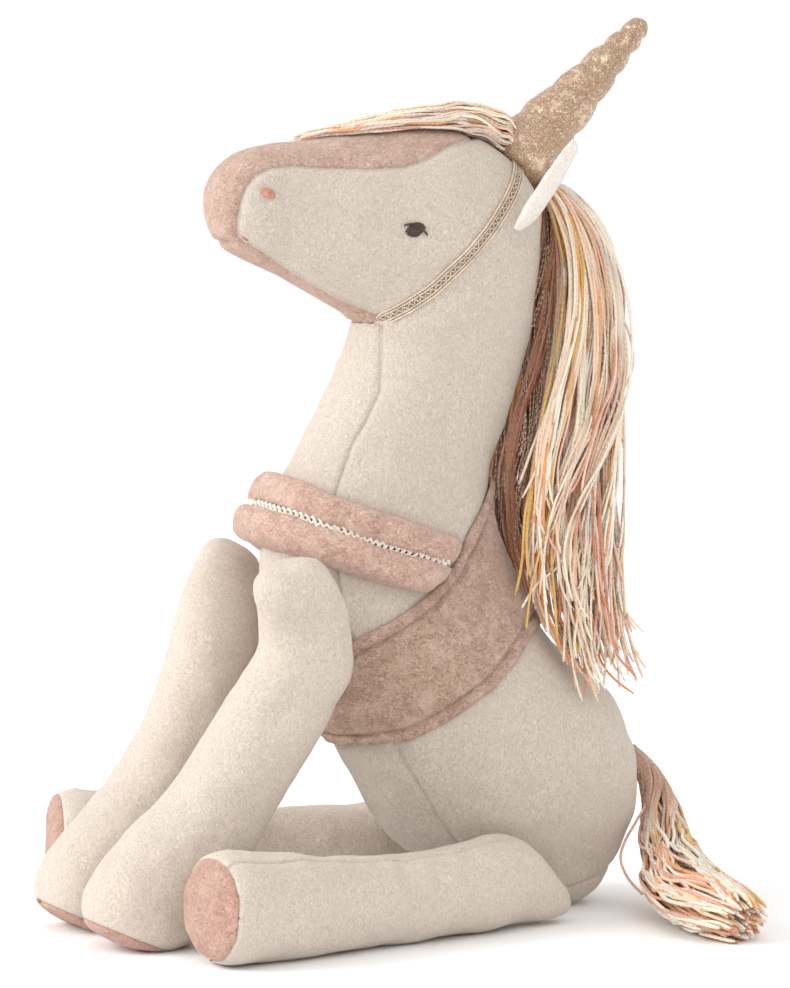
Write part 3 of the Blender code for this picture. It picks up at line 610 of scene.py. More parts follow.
def tubes(name, lines, sides=6):
    """One mesh of closed tubes. lines holds (points, radii, colour or a list of one colour per point)."""
    verts, faces, uvs, tints = [], [], [], []
    for points, radii, colour in lines:
        ahead = ahead_of(points)
        up = np.cross(ahead[0], (0.31, 0.83, 0.46))
        up /= np.linalg.norm(up)
        start, run = len(verts), 0.0
        for k, (p, d) in enumerate(zip(points, ahead)):
            up = up - d * (up @ d)
            up /= np.linalg.norm(up)
            side = np.cross(d, up)
            for i in range(sides):
                a = 2 * math.pi * i / sides
                verts.append(p + radii[k] * (up * math.cos(a) + side * math.sin(a)))
                tints.append(colour[k] if isinstance(colour, list) else colour)
            if k:
                before = run
                run += float(np.linalg.norm(p - points[k - 1]))
                row = start + (k - 1) * sides
                for i in range(sides):
                    j = (i + 1) % sides
                    faces.append((row + i, row + j, row + sides + j, row + sides + i))
                    u, v = i / sides, (i + 1) / sides
                    uvs.extend([(u, before), (v, before), (v, run), (u, run)])
        last = start + (len(points) - 1) * sides
        faces.append(tuple(range(start + sides - 1, start - 1, -1)))
        faces.append(tuple(range(last, last + sides)))
        uvs.extend([(0.5, 0.0)] * sides + [(0.5, run)] * sides)
    mesh = bpy.data.meshes.new(name)
    mesh.from_pydata([tuple(v) for v in verts], [], faces)
    layer = mesh.uv_layers.new(name="strand")
    layer.data.foreach_set("uv", np.array(uvs, np.float32).ravel())
    attribute = mesh.attributes.new("yarn_colour", "FLOAT_COLOR", "POINT")
    attribute.data.foreach_set("color", np.array([(*t, 1) for t in tints], np.float32).ravel())
    mesh.update()
    return placed(name, mesh)


def bundle_frames(stations, count, square=False):
    """Middle, two cross axes and half sizes along a bundle, in metres."""
    rows = smooth_line([(*m, a, b) for m, a, b in stations], count)
    middle, sizes = rows[:, :3] * MM, rows[:, 3:] * MM
    ahead = ahead_of(middle)
    if square:
        side = np.cross(ahead, (0, 0, 1))
    else:
        side = np.array([1.0, 0, 0]) - ahead * ahead[:, :1]
    side /= np.linalg.norm(side, axis=1, keepdims=True)
    other = np.cross(ahead, side) if not square else np.cross(side, ahead)
    return middle, side, other, sizes


def wave(rng, count, slow, fast, reach):
    """A smooth random line of count numbers between about -reach and reach."""
    t = np.linspace(0, 1, count)
    out = np.zeros(count)
    for turns, share in ((slow, 1.0), (fast, 0.4)):
        out += share * np.sin(2 * math.pi * (turns * rng.uniform(0.6, 1.4) * t + rng.random()))
    return out * reach / 1.4


CREAM, OFF_WHITE = linear(253, 236, 212), linear(255, 246, 230)
PALE_PINK, ROSE = linear(246, 206, 186), linear(234, 174, 150)
ORANGE, MUSTARD = linear(238, 164, 104), linear(232, 188, 108)
RUST, COPPER, LILAC = linear(214, 146, 116), linear(232, 176, 148), linear(222, 196, 196)
PEACH = linear(250, 216, 186)
MANE_MIX = [(CREAM, 30), (OFF_WHITE, 16), (PEACH, 16), (PALE_PINK, 16), (ORANGE, 9), (MUSTARD, 4), (ROSE, 8),
            (LILAC, 3), (RUST, 3)]


def faded(first, last, count, begin, end):
    """Colours along a strand, from first to last between two shares of its length."""
    out = []
    for k in range(count):
        t = min(1.0, max(0.0, (k / (count - 1) - begin) / (end - begin)))
        out.append(tuple(a + (b - a) * t for a, b in zip(first, last)))
    return out


def pick(rng, mix):
    total = rng.random() * sum(w for _, w in mix)
    for colour, weight in mix:
        total -= weight
        if total <= 0:
            return colour
    return mix[0][0]


def strands(stations, clumps, each, seed, mix, radius=0.68, points=52, spread=0.9, ends=(0.82, 1.0),
            flare=4.0, wander=0.16, clump_size=0.26, swirl=0.5, square=False, curl=0.05, same=0.55):
    """Strands of a loose bundle, in clumps that wander round each other."""
    rng = random.Random(seed)
    middle, side, other, sizes = bundle_frames(stations, points, square)
    share = np.linspace(0, 1, points)
    out = []
    for clump in range(clumps):
        angle = 2 * math.pi * (clump + rng.uniform(-0.3, 0.3)) / clumps
        reach = spread * (1.0 if clump % 3 else rng.uniform(0.3, 0.75))
        drift_a, drift_b = wave(rng, points, 1.2, 3.1, wander), wave(rng, points, 1.0, 2.6, wander)
        turn = angle + swirl * (share - 0.5) * rng.uniform(-1, 1)
        clump_colour = pick(rng, mix)
        for _ in range(each):
            colour = clump_colour if rng.random() < same else pick(rng, mix)
            tone = rng.uniform(0.9, 1.06)
            colour = tuple(min(1, c * tone) for c in colour)
            around, off = rng.uniform(0, 2 * math.pi), clump_size * math.sqrt(rng.random())
            wa, wb = wave(rng, points, 2.0, 6.0, curl), wave(rng, points, 2.2, 5.0, curl)
            a = reach * np.cos(turn) + drift_a + off * np.cos(around + 2.0 * share) + wa
            b = reach * np.sin(turn) + drift_b + off * np.sin(around + 2.0 * share) + wb
            size = np.sqrt(a * a + b * b)
            limit = np.minimum(1, 1.02 / size.clip(1e-6))
            a, b = a * limit, b * limit
            path = middle + side * (sizes[:, :1] * a[:, None]) + other * (sizes[:, 1:] * b[:, None])
            stop = max(8, int(points * rng.uniform(*ends)))
            away = np.array([rng.gauss(0, 1) for _ in range(3)])
            lift = np.clip((share * points - (stop - 9)) / 9, 0, 1)[:, None] ** 2
            path = path + away * lift * flare * MM * 0.5
            path = path[:stop]
            thick = np.full(len(path), radius * MM * rng.uniform(0.88, 1.12))
            thick[-1] *= 0.6
            out.append((path, thick, colour))
    return out


# ---------------------------------------------------------------- body

def body_hold(co):
    """How firmly the body's skin is held: fully at its seams and under the saddle and strap."""
    seams = np.minimum.reduce([np.abs(inside(a, co)) for a in (FACE_AREA, CHIN_AREA, THROAT_AREA, SEAT_AREA)])
    seams = np.minimum(seams, np.where(co[:, 1] > -0.1, np.abs(co[:, 0]), 1))
    straps = np.minimum(inside(SADDLE_AREA, co), strap_distance(co))
    low = np.clip(1 - (co[:, 2] - 0.002) / 0.01, 0, 1)
    sewn = 0.6 * np.exp(-(seams / 0.005) ** 2)
    return np.clip(np.maximum.reduce([sewn, np.where(straps < 0.003, 1.0, 0.0), low]), 0, 1)


def strap_distance(co):
    """How far outside the two strap rolls, seen along X."""
    return line_distance(STRAP_CHAIN, co) - 0.016


body = padded_form("body_skin",
                   ["side_panel_left", "side_panel_right", "throat_gusset", "seat_panel", "face_gusset",
                    "chin_gusset", "head_stuffing", "torso_stuffing"],
                   0.0046, body_hold, 5.0, 0.004, 0.0002)
lumps(body, 0.028, 0.0011, 1)
lumps(body, 0.010, 0.0005, 2)

# Folds where the cloth is pulled, above the hips, behind the saddle, at the jaw and round the neck's foot:
# (line on the left side in millimetres, width, depth).
BODY_FOLDS = [
    ([(38, -64, 66), (40, -52, 52), (42, -40, 44)], 0.0040, 0.0006),
    ([(41, -62, 37), (43, -50, 40), (44, -38, 43), (44, -28, 43)], 0.0032, 0.0017),
    ([(43, -50, 45), (44, -40, 49), (44, -28, 50)], 0.0040, 0.0008),
    ([(20, -85, 70), (25, -83, 63), (30, -81, 54), (33, -80, 45)], 0.0036, 0.0012),
    ([(27, -78, 72), (31, -76, 64), (35, -72, 56)], 0.0034, 0.0008),
    ([(26, -74, 236), (28, -56, 232), (28, -34, 236)], 0.0050, 0.0014),
    ([(22, -84, 292), (24, -80, 280), (23, -78, 268)], 0.0070, 0.0009),
    ([(33, 4, 100), (40, 18, 78), (41, 26, 56)], 0.0060, 0.0008),
]
for side in (1, -1):
    folded(body, BODY_FOLDS, side)

PANEL_AREAS = {"face_gusset": FACE_AREA, "chin_gusset": CHIN_AREA, "throat_gusset": THROAT_AREA,
               "seat_panel": SEAT_AREA}


def seam_distance(co):
    """Distance of each point of the body's skin from the nearest seam."""
    fields = [inside(area, co) for area in PANEL_AREAS.values()]
    to_seam = np.minimum.reduce([np.abs(field) for field in fields])
    in_side_panel = np.minimum.reduce(fields) > 0
    return np.where(in_side_panel, np.minimum(to_seam, np.abs(co[:, 0])), to_seam)


EYE, NOSTRIL = (-68.2, 274), (-128, 288.5)
co = points_of(body.data)
from_eye = np.hypot(co[:, 1] / MM - EYE[0], co[:, 2] / MM - EYE[1])
set_points(body.data, co - normals_of(body.data) * (0.0011 * np.exp(-(from_eye / 6.0) ** 2))[:, None])

saddle_cut = placed("saddle_cut", body.data.copy())
in_saddle = even_field(inside(SADDLE_AREA, points_of(body.data)), body, 2)
saddle = split_along(saddle_cut, in_saddle, "saddle_cloth")
bpy.data.objects.remove(saddle_cut)

refined(body, seam_distance(points_of(body.data)), 0.0040)
pressed(body, even_field(seam_distance(points_of(body.data)), body, 1), 0.0024, 0.0018)
skin_tree = BVHTree.FromPolygons([tuple(p) for p in points_of(body.data)],
                                 [tuple(f.vertices) for f in body.data.polygons])

panels = {}
for name, outline in PANEL_AREAS.items():
    in_panel = even_field(inside(outline, points_of(body.data)), body, 2)
    panels[name] = split_along(body, in_panel, name + "_cloth")
panels["side_panel_left"] = split_along(body, -points_of(body.data)[:, 0], "side_panel_left_cloth")
panels["side_panel_right"] = body
body.name = "side_panel_right_cloth"
for name, thing in panels.items():
    sheet_of(thing, PANEL_THICKNESS)
    pink = name in ("face_gusset", "chin_gusset")
    inner = {"side_panel_left": ("head_stuffing", "torso_stuffing")}.get(name, ())
    dress(thing, PINK_FACE if pink else WOOL, "body", (name, *inner))


# ---------------------------------------------------------------- legs

def nearest(node_names, co):
    """Distance of each point from the CAD nodes' surfaces."""
    work = bmesh.new()
    for node in node_names:
        work.from_mesh(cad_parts[node].data)
    tree = BVHTree.FromBMesh(work)
    work.free()
    return np.array([tree.find_nearest(Vector(p))[3] for p in co])


# Middle line of each leg, from the body to the hoof, in millimetres.
HIND_LINE = [(49.8, -22.5, 20.8), (56, -49, 18.3), (68.8, -93, 16.8), (82, -141, 19.4), (90, -179, 21.8)]
LEG_LINES = {
    "hind_leg_left": HIND_LINE,
    "hind_leg_right": [(-x, y, z) for x, y, z in HIND_LINE],
    "front_leg_left": [(49.3, -132.3, 147), (41, -123, 126), (38.2, -120.3, 107), (37.4, -145.6, 67),
                       (38.1, -176.1, 28), (38.4, -194.2, 4.8)],
    "front_leg_right": [(-49, -115.5, 147), (-39.3, -125, 127), (-30.2, -131.5, 109), (-20.4, -149.5, 67),
                        (-12.6, -178.4, 27.5), (-9.2, -197.2, 4.8)],
}

# Which way the mouth of each hoof faces, and the seam along the top of a hind leg as (x, y).
MOUTHS = {"hind_leg": (0.2, -1.0, 0.04), "front_leg": (0.0, -0.4, -0.92)}
HIND_SEAM = [(100, -179), (95, -154), (88, -135), (82, -116), (76, -97), (67, -68), (57, -42)]

LEG_FOLDS = {
    "hind_leg": [([(72, -94, 34), (82, -96, 27), (86, -95, 17), (82, -94, 7)], 0.0040, 0.0014),
                 ([(76, -84, 31), (81, -85, 20), (79, -84, 9)], 0.0050, 0.0008),
                 ([(48, -34, 38), (55, -41, 36), (62, -50, 34)], 0.0034, 0.0014),
                 ([(54, -30, 34), (60, -40, 30), (66, -52, 27)], 0.0036, 0.0009)],
    "front_leg": [([(59, -125, 146), (61, -117, 137), (55, -108, 127), (50, -104, 113)], 0.0034, 0.0016),
                  ([(50, -109, 132), (55, -111, 126), (56, -118, 118)], 0.0028, 0.0014),
                  ([(56, -135, 146), (60, -126, 138), (56, -117, 128)], 0.0036, 0.0012),
                  ([(53, -127, 95), (53, -135, 88), (50, -147, 84)], 0.0050, 0.0009)],
}

for leg, line in LEG_LINES.items():
    side = 1 if leg.endswith("left") else -1
    kind = leg.rsplit("_", 1)[0]
    front = kind == "front_leg"
    top = np.array(line[0]) * MM

    def leg_hold(co):
        ends = np.linalg.norm(co - top, axis=1)
        sole = nearest([leg + "_sole"], co)
        floor = np.clip(1 - (co[:, 2] - 0.001) / 0.008, 0, 1)
        return np.clip(np.maximum.reduce([np.exp(-(sole / 0.003) ** 2), np.exp(-(ends / 0.010) ** 2),
                                          floor]), 0, 1)

    form = padded_form(leg, [leg + "_cover", leg + "_stuffing", leg + "_sole"], 0.0040, leg_hold,
                       4.0, 0.003, 0.0)
    lumps(form, 0.024, 0.0012, 3 + side)
    lumps(form, 0.009, 0.0005, 5 + side)
    folded(form, LEG_FOLDS[kind], side)
    mouth, facing = np.array(line[-1]) * MM, np.array(MOUTHS[kind]) * (side, 1, 1)

    def leg_seams(co):
        """Signed distance from the sole's edge, and distance from the nearest seam."""
        field = 0.00015 - (co - mouth) @ (facing / np.linalg.norm(facing))
        if front:
            middle = np.interp(-co[:, 2], [-p[2] * MM for p in line], [p[0] * MM for p in line])
            seam = np.abs(co[:, 0] - middle)
        else:
            seam = line_distance([(side * x, y) for x, y in HIND_SEAM], co, (0, 1))
            seam = np.where(co[:, 2] > 0.016, seam, 1)
        depth_lost = 0.0006 if front else 0.0
        return field, np.minimum(np.abs(field) + 0.0007, np.where(field > 0, seam, 1) + depth_lost)

    refined(form, leg_seams(points_of(form.data))[1], 0.0036)
    sole_field, to_seam = leg_seams(points_of(form.data))
    sole_field = even_field(sole_field, form, 2)
    pressed(form, even_field(to_seam, form, 1), 0.0024, 0.0017)
    sole = split_along(form, even_field(sole_field, form, 1), leg + "_sole_cloth")
    form.name = leg + "_cloth"
    sheet_of(form, PANEL_THICKNESS)
    sheet_of(sole, PANEL_THICKNESS, 0.0003)
    dress(form, WOOL_LEG, leg, (leg + "_cover", leg + "_stuffing"))
    dress(sole, PINK_SOLE, leg, (leg + "_sole",))


# ---------------------------------------------------------------- saddle and strap

def edge_distance(thing):
    """Distance of each point of an open skin from its own edge."""
    work = bmesh.new()
    work.from_mesh(thing.data)
    rim = [v.co.copy() for v in work.verts if v.is_boundary]
    tree = kd_tree(rim)
    out = np.array([tree.find(v.co)[2] for v in work.verts])
    work.free()
    return out


refined(saddle, edge_distance(saddle), 0.0075)
from_edge = edge_distance(saddle)
rounded = np.sqrt(np.clip(1 - (1 - np.clip(from_edge / 0.0018, 0, 1)) ** 2, 0, 1))
height = 0.0010 + 0.0016 * rounded - 0.0017 * np.exp(-((from_edge - 0.0050) / 0.0008) ** 2)
set_points(saddle.data, points_of(saddle.data) + normals_of(saddle.data) * height[:, None])
lumps(saddle, 0.012, 0.0006, 11)
lumps(saddle, 0.0028, 0.00035, 12)
sheet_of(saddle, SADDLE_THICKNESS)
dress(saddle, PINK, "body", ("saddle",))

STRAP_TOP = [(-160, 192), (-129, 186.5), (-118, 179), (-104.5, 171), (-86, 164), (-67, 157), (-50, 152.3)]
STRAP_BOTTOM = [(-160, 161), (-139, 154), (-124, 148.5), (-110, 143), (-96.5, 138.5), (-83, 135),
                (-70, 131.7)]


def roll_profile(co, outer, full):
    """How high a roll stands at each point: a rounded section, lower at the chain than in its middle."""
    from_chain, from_outer = line_distance(STRAP_CHAIN, co), line_distance(outer, co)
    across = from_chain / (from_chain + from_outer)
    arch = np.clip(1 - np.abs(2 * across - 1) ** 3, 0, 1) ** (1 / 2.4)
    foot = np.where(across < 0.5, 0.42, 0.25)
    to_end = np.clip((-co[:, 1] * 1000 - 50.0) / 9, 0, 1)
    end = np.sqrt(np.clip(1 - (1 - to_end) ** 2, 0.1, 1))
    return full * (foot + (1 - foot) * arch) * end


for roll, outer, full in (("strap_upper_roll", STRAP_TOP, 1.02), ("strap_lower_roll", STRAP_BOTTOM, 1.22)):
    thing = even_form(roll, [roll], 0.0017, 5, 0.6)
    co = points_of(thing.data)
    skin = [skin_tree.find_nearest(Vector(p)) for p in co]
    foot = np.array([hit[0] for hit in skin])
    share = roll_profile(co, outer, full)
    set_points(thing.data, foot + (co - foot) * share[:, None])
    thing = modified(thing, "SMOOTH", factor=0.5, iterations=3)
    thing = modified(thing, "SUBSURF", levels=1, render_levels=1)
    lumps(thing, 0.011, 0.0008, len(roll) + int(full * 10))
    lumps(thing, 0.0028, 0.00035, 13)
    thing.name = roll + "_pad"
    dress(thing, PINK_STRAP, "body", (roll,))


def skin_path(line, tree):
    """The line wrapped over both flanks, from its left end to its right end, with the normals there."""
    points = np.array(line, float) * MM
    run = run_along(points)
    halves = []
    for side in (1, -1):
        half = []
        for at in np.arange(0, run[-1], 0.0006):
            y, z = np.interp(at, run, points[:, 0]), np.interp(at, run, points[:, 1])
            hit, normal, _, _ = tree.ray_cast(Vector((side * 0.12, y, z)), Vector((-side, 0, 0)))
            if hit is None or hit.x * side < 0:
                if half:
                    break
                continue
            half.append((*hit, *normal))
        halves.append(half)
    rows = np.array(halves[0] + halves[1][::-1])
    run = run_along(rows[:, :3])
    at = np.arange(0, run[-1], 0.0008)
    rows = np.stack([np.interp(at, run, rows[:, k]) for k in range(6)], 1)
    for _ in range(6):
        rows[1:-1] = (rows[:-2] + 2 * rows[1:-1] + rows[2:]) / 4
    rows[:, 3:] /= np.linalg.norm(rows[:, 3:], axis=1, keepdims=True)
    return rows[:, :3], rows[:, 3:]


def plait(path, normal, pitch, wide, high, radius, count=3):
    """Threads plaited along a path that lies on a surface."""
    side = np.cross(ahead_of(path), normal)
    run = run_along(path)
    out = []
    for k in range(count):
        phase = 2 * math.pi * (run / pitch + k / count)
        line = (path + side * (wide * np.sin(phase))[:, None]
                + normal * (high * (1 + np.sin(2 * phase)))[:, None])
        out.append((line, np.full(len(line), radius), PLAIN))
    return out


path, normal = skin_path([(-60.5, 142.6)] + STRAP_CHAIN[-2::-1], skin_tree)
path = path + normal * 0.0063
chain = tubes("crochet_chain", plait(path, normal, 0.0078, 0.0021, 0.0005, 0.00068))
dress(chain, CHAIN_YARN, "body", ("crochet_trim",))

path, normal = skin_path(BRAID, skin_tree)
across = np.cross(ahead_of(path), normal)
run = run_along(path)
cords = []
for offset, radius in ((-2.35, 0.5), (-1.25, 0.42), (1.25, 0.42), (2.35, 0.5)):
    line = path + across * offset * MM + normal * 0.7 * MM
    cords.append((line, np.full(len(line), radius * MM), PLAIN))
zigzag = path + across * (0.75 * MM * np.sin(2 * math.pi * run / 0.0026))[:, None] + normal * 0.85 * MM
cords.append((zigzag, np.full(len(zigzag), 0.34 * MM), PLAIN))
braid = tubes("gold_braid", cords)
dress(braid, GOLD_YARN, "body", ("bridle_braid",))


# Joint threads, (y, z) and half length in millimetres: two strands twisted together, from leg to leg.
for name, y, z, reach in (("hip_thread", -31, 20, 48), ("shoulder_thread", -116, 127, 41)):
    run = np.linspace(-reach, reach, 120)
    twist = 2 * math.pi * run / 5.0
    strand_pair = []
    for turn in (0, math.pi):
        line = np.stack([run, y + 0.4 * np.cos(twist + turn), z + 0.4 * np.sin(twist + turn)], axis=1) * MM
        strand_pair.append((line, np.full(len(run), 0.48 * MM), CREAM))
    dress(tubes(name + "_floss", strand_pair), YARN, "body", (name,))


# ---------------------------------------------------------------- horn and ears

horn = even_form("horn", ["horn_cover", "horn_stuffing"], 0.0011, 4)
horn = modified(horn, "SUBSURF", levels=1, render_levels=1)
to_thread = nearest(["horn_thread"], points_of(horn.data))
pressed(horn, to_thread, 0.0028, 0.0011)
co = points_of(horn.data)
horn_foot, horn_axis = np.array([0, -16.8, 297.5]) * MM, np.array([0, 0.7088, 0.7054])
run = (co - horn_foot) @ horn_axis
on_axis = horn_foot + run[:, None] * horn_axis
tucked = np.sqrt(np.clip(1 - (1 - np.clip((run + 0.003) / 0.014, 0, 1)) ** 2, 0.2, 1))
set_points(horn.data, on_axis + (co - on_axis) * tucked[:, None])
lumps(horn, 0.006, 0.0005, 31)
dress(horn, GOLD, "body", ("horn_cover", "horn_stuffing", "horn_thread"))

for side, end in ((1, "left"), (-1, "right")):
    name = "ear_" + end
    ear = joined(name + "_leaf", name)
    set_points(ear.data, points_of(ear.data) + normals_of(ear.data) * 0.0004)
    ear = modified(ear, "REMESH", mode="VOXEL", voxel_size=0.0009, adaptivity=0.0)
    relaxed(ear, 8)
    ear = modified(ear, "SUBSURF", levels=1, render_levels=1)
    lumps(ear, 0.010, 0.0006, 40 + side)
    dress(ear, WOOL_EAR, name, (name,))


# ---------------------------------------------------------------- embroidery

def on_skin(y, z, side, lift=0.0):
    hit, normal, _, _ = skin_tree.ray_cast(Vector((side * 0.12, y * MM, z * MM)), Vector((-side, 0, 0)))
    return np.array(hit + normal * lift * MM)


def stitch(ends, side, radius, lift=0.5, bow=0.0, count=9):
    """A short thread over the skin between two (y, z) points."""
    (ya, za), (yb, zb) = ends
    points = []
    for t in np.linspace(0, 1, count):
        rise = lift * math.sin(math.pi * (0.12 + 0.76 * t))
        y, z = ya + (yb - ya) * t, za + (zb - za) * t + bow * math.sin(math.pi * t)
        points.append(on_skin(y, z, side, rise))
    radii = [radius * MM * (0.45 + 0.55 * math.sin(math.pi * t) ** 0.4)
             for t in np.linspace(0.04, 0.96, count)]
    return np.array(points), np.array(radii), PLAIN


for side, end in ((1, "left"), (-1, "right")):
    rng = random.Random(60)
    threads = []
    for k in range(13):
        u = (k - 6) / 6
        half = 2.6 * math.sqrt(max(0.05, 1 - u * u)) + 0.3
        y, z = EYE[0] + u * 3.3, EYE[1] + 0.2 * u
        start = (y - 0.5 + rng.uniform(-0.2, 0.2), z - half)
        threads.append(stitch([start, (y + 0.5, z + half)], side, 0.42, 0.9))
    threads.append(stitch([(EYE[0] - 4.6, EYE[1] + 1.7), (EYE[0] + 3.0, EYE[1] + 1.6)], side, 0.45, 1.0, 0.7))
    threads.append(stitch([(EYE[0] + 2.0, EYE[1] + 1.4), (EYE[0] + 4.7, EYE[1] - 2.2)], side, 0.45, 0.9))
    eye = tubes("eye_" + end + "_floss", threads)
    dress(eye, DARK_YARN, "body", ("eye_" + end,))
    threads = []
    for k in range(6):
        u = (k - 2.5) / 2.5
        threads.append(stitch([(NOSTRIL[0] - 2.9 + abs(u) * 0.7, NOSTRIL[1] + 1.3 * u + 0.8),
                               (NOSTRIL[0] + 2.9 - abs(u) * 0.7, NOSTRIL[1] + 1.3 * u - 0.8)],
                              side, 0.5, 1.5 - 0.5 * abs(u)))
    nostril = tubes("nostril_" + end + "_floss", threads)
    dress(nostril, SALMON_YARN, "body", ("nostril_" + end,))
    mouth = tubes("mouth_" + end + "_stitch", [stitch([(-135.8, 271.6), (-133.8, 270.2)], side, 0.4, 0.6)])
    dress(mouth, SALMON_YARN, "body")


# ---------------------------------------------------------------- yarn

back_mix = [(RUST, 14), (COPPER, 30), (ROSE, 26), (ORANGE, 8), (PALE_PINK, 12), (PEACH, 10)]
back_strands = strands(MANE_BACK, 18, 8, 71, back_mix, radius=0.6, points=48, ends=(0.86, 1.0), flare=3.0,
                       spread=0.92, wander=0.22, swirl=1.4, same=0.3)
back = tubes("mane_back_yarn", back_strands)
dress(back, YARN, "body", ("mane_back_layer",))
tinsel_strands = strands(MANE_BACK, 24, 3, 72, [(CREAM, 1)], radius=0.34, points=70, wander=0.5, spread=1.04,
                         ends=(0.8, 1.0), swirl=2.5)
tinsel = tubes("mane_tinsel", tinsel_strands, 5)
dress(tinsel, TINSEL, "body")

# The lock: a peach core, a long wavy sheet behind, a shorter one in front, a few crossing and stray strands.
LOCK_CORE = [((7, -3, 289), 3, 3), ((9, 4, 281), 5, 6), ((11, 10, 266), 6, 10), ((12, 12, 245), 8, 13),
             ((13, 11, 222), 9, 14), ((15, 7, 192), 10, 16), ((18, 3.5, 168), 10, 17.5),
             ((25, 1, 131), 10, 17), ((34, 3.5, 109), 8, 13), ((42, 6, 94), 6, 12)]
LOCK_FRONT = [((9, -3, 290), 2.5, 2.5), ((15, 1, 280), 3.5, 5), ((20, 5, 262), 4, 6.5), ((22, 6, 245), 4, 8),
              ((25, 3, 225), 4, 9.5), ((27, -2, 201), 4, 11), ((29, -9, 178), 4, 12), ((31, -13, 154), 4, 12),
              ((34, -15, 126), 3, 11)]
LOCK_LONG = [((8, -3, 291), 2.5, 3), ((10, 6, 283), 4, 5), ((12, 14, 268), 5, 8), ((14, 18.5, 243), 6, 9.5),
             ((16, 17, 217), 7, 10.5), ((18, 14, 193), 8, 12), ((22, 11, 169), 8, 13),
             ((27, 8, 145), 8, 13.5), ((32, 6, 121), 8, 14), ((38, 6, 102), 7, 15), ((44, 9, 86), 5, 15)]
LOCK_CROSSING = [((12, 8, 281), 2, 3), ((15, 18, 262), 3, 5), ((18, 23, 238), 3, 6), ((24, 20, 214), 3, 6),
                 ((30, 9, 190), 3, 7), ((34, -3, 168), 3, 7), ((36, -11, 146), 3, 6), ((39, -10, 124), 3, 7),
                 ((43, -4, 104), 3, 8)]
core_mix = [(PEACH, 40), (PALE_PINK, 25), (ROSE, 12), (CREAM, 15), (ORANGE, 5), (RUST, 3)]
lock_strands = strands(LOCK_CORE, 16, 7, 73, core_mix, radius=0.62, points=48, wander=0.18, swirl=0.9,
                       ends=(0.8, 1.0), spread=0.86, flare=3.0, same=0.7)
lock_strands += strands(LOCK_LONG, 17, 7, 76, MANE_MIX, radius=0.54, points=88, wander=0.46, swirl=2.4,
                        ends=(0.70, 1.0), clump_size=0.17, flare=5.5, curl=0.08, same=0.72)
lock_strands += strands(LOCK_FRONT, 14, 7, 77, MANE_MIX, radius=0.54, points=72, wander=0.26, swirl=1.1,
                        ends=(0.74, 1.0), clump_size=0.17, flare=5.0, curl=0.08, same=0.72)
lock_strands += strands(LOCK_CROSSING, 5, 4, 78, MANE_MIX, radius=0.5, points=72, wander=0.4, swirl=1.0,
                        ends=(0.55, 1.0), clump_size=0.3, flare=5.0, same=0.2, curl=0.1)
stray = [([(16, 19, 262), (18, 21, 245), (18, 28, 233), (18, 30.5, 219), (18, 25, 207), (18, 15, 197)],
          PALE_PINK),
         ([(30, -6, 160), (34, -9, 142), (35, -20, 133), (35, -26.5, 124)], OFF_WHITE),
         ([(32, -12, 165), (36, -20, 143), (36, -23, 131), (36, -25, 116)], MUSTARD)]
for line, colour in stray:
    path = smooth_line(line, 40) * MM
    lock_strands.append((path, np.full(40, 0.5 * MM), colour))
lock = tubes("mane_lock_yarn", lock_strands, 5)
dress(lock, YARN, "mane_lock", ("mane_lock",))

fore_mix = [(CREAM, 34), (OFF_WHITE, 12), (PEACH, 12), (PALE_PINK, 18), (ROSE, 8), (ORANGE, 8), (MUSTARD, 5),
            (LILAC, 3)]
FORELOCK_SWEEP = [((1, -17, 307), 8, 5), ((1, -25, 316), 10, 7.4), ((0, -36, 318), 12, 7.2),
                  ((0, -50, 319), 13, 4.8), ((-1, -66, 318), 13, 3.7), ((-2, -82, 315), 12, 2.6),
                  ((-3, -96, 312), 10, 1.6), ((-4, -110, 310), 8, 1.0)]


def draped(lines, stations):
    """The strands laid on the head, each as high above it as it lay above the bottom of its bundle."""
    at = [-m[1] for m, _, _ in stations]
    bottom = [m[2] - high for m, _, high in stations]
    out = []
    for path, radii, colour in lines:
        path = path.copy()
        for p in path:
            hit = skin_tree.ray_cast(Vector((p[0], p[1], 0.4)), Vector((0, 0, -1)))[0]
            lift = max(0.0, p[2] - float(np.interp(-p[1] / MM, at, bottom)) * MM)
            if hit is not None and p[1] < -0.022:
                p[2] = hit.z + 0.0004 + lift * 0.9
        for _ in range(2):
            path[1:-1] = (path[:-2] + 2 * path[1:-1] + path[2:]) / 4
        out.append((path, radii, colour))
    return out


fore_strands = strands(FORELOCK_SWEEP, 18, 8, 74, fore_mix, radius=0.5, points=44, ends=(0.68, 1.0),
                       flare=0.6, wander=0.22, swirl=0.8, curl=0.08)
fore = tubes("forelock_yarn", draped(fore_strands, FORELOCK_SWEEP), 5)
dress(fore, YARN, "body", ("forelock",))

tail_mix = [(CREAM, 36), (OFF_WHITE, 18), (PEACH, 14), (PALE_PINK, 14), (ORANGE, 8), (MUSTARD, 4), (ROSE, 6)]
TAIL_BRUSH = [((2, 37, 60), 2.5, 2.5), ((5, 44, 50), 4.5, 4.5), ((13, 46, 38), 7, 6.5),
              ((30, 40.5, 25), 11, 10), ((56, 32, 16), 14, 12.5), ((86, 26, 12.4), 16, 11.5),
              ((106, 25.5, 11), 15.5, 10.5), ((120, 28, 8.7), 13, 8.5), ((127, 29.5, 7), 11, 6.5)]
tail_strands = []
for path, radii, colour in strands(TAIL_BRUSH, 26, 8, 75, tail_mix, radius=0.74, points=64, square=True,
                                   ends=(0.90, 1.0), flare=0.7, wander=0.30, swirl=1.4, curl=0.14):
    tail_strands.append((path, radii, faded(linear(206, 166, 144), colour, len(path), 0.15, 0.45)))
LOOSE_LOOP = [(12, 43, 42), (18, 33, 33), (23, 25, 25), (28, 21, 19), (33, 22, 12), (38, 26, 6)]
loop = smooth_line(LOOSE_LOOP, 40) * MM
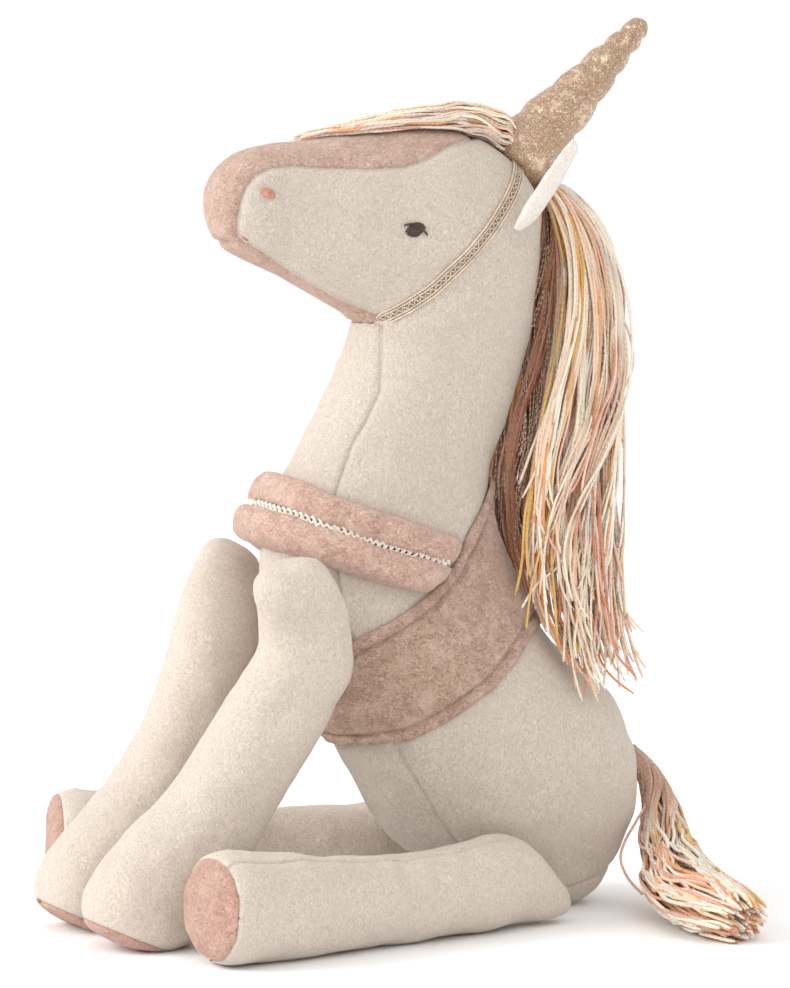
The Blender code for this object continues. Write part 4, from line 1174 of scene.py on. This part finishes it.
tail_strands.append((loop, np.full(40, 0.6 * MM), PALE_PINK))
tail = tubes("tail_yarn", tail_strands, 5)
dress(tail, YARN, "tail", ("tail",))


# ---------------------------------------------------------------- stage

LIGHTS = [("key", (-0.4, -2.6, 1.5), 1.6, 60.0), ("fill", (2.4, -0.4, 1.6), 1.8, 9.0)]   # place, size, watts
LIGHTS_AIM = (0, -0.06, 0.16)
CAMERA_AIM, CAMERA_REACH = (0, -0.0663, 0.168), 1.8
CAMERA_AZIMUTH, CAMERA_ELEVATION = math.radians(67.0), math.radians(4.4)
CAMERA_LENS = 163.97               # millimetres, on a sensor 36 wide


def stage():
    """A wide pale floor, soft light from the front left and above, and the camera."""
    scene = bpy.context.scene
    mesh = bpy.data.meshes.new("floor")
    work = bmesh.new()
    bmesh.ops.create_circle(work, cap_ends=True, segments=96, radius=14)
    work.to_mesh(mesh)
    work.free()
    floor = placed("floor", mesh)
    floor.location.z = -0.0002
    look = Look("floor_paper", 0.9)
    look.colour(look.ramp(look.noise(0.02, 2), [(0.3, (0.97, 0.97, 0.97)), (0.7, (0.98, 0.98, 0.98))]))
    floor.data.materials.append(look.material)

    world = bpy.data.worlds.new("studio")
    scene.world = world
    world.use_nodes = True
    world.node_tree.nodes["Background"].inputs["Color"].default_value = (1.0, 1.0, 1.0, 1)
    world.node_tree.nodes["Background"].inputs["Strength"].default_value = 1.03
    for name, place, size, power in LIGHTS:
        light = bpy.data.lights.new(name, "AREA")
        light.size, light.energy = size, power
        lamp = placed(name, light)
        lamp.location = place
        lamp.rotation_euler = (Vector(LIGHTS_AIM) - Vector(place)).to_track_quat("-Z", "Y").to_euler()

    level = math.cos(CAMERA_ELEVATION)
    back = Vector((math.sin(CAMERA_AZIMUTH) * level, -math.cos(CAMERA_AZIMUTH) * level,
                   math.sin(CAMERA_ELEVATION)))
    lens = bpy.data.cameras.new("camera")
    lens.sensor_width, lens.lens = 36.0, CAMERA_LENS
    lens.clip_start, lens.clip_end = 0.05, 100
    camera = placed("camera", lens)
    camera.location = Vector(CAMERA_AIM) + back * CAMERA_REACH
    camera.rotation_euler = (-back).to_track_quat("-Z", "Y").to_euler()
    scene.camera = camera
    scene.view_settings.view_transform = "Standard"


stage()
bpy.context.view_layer.update()
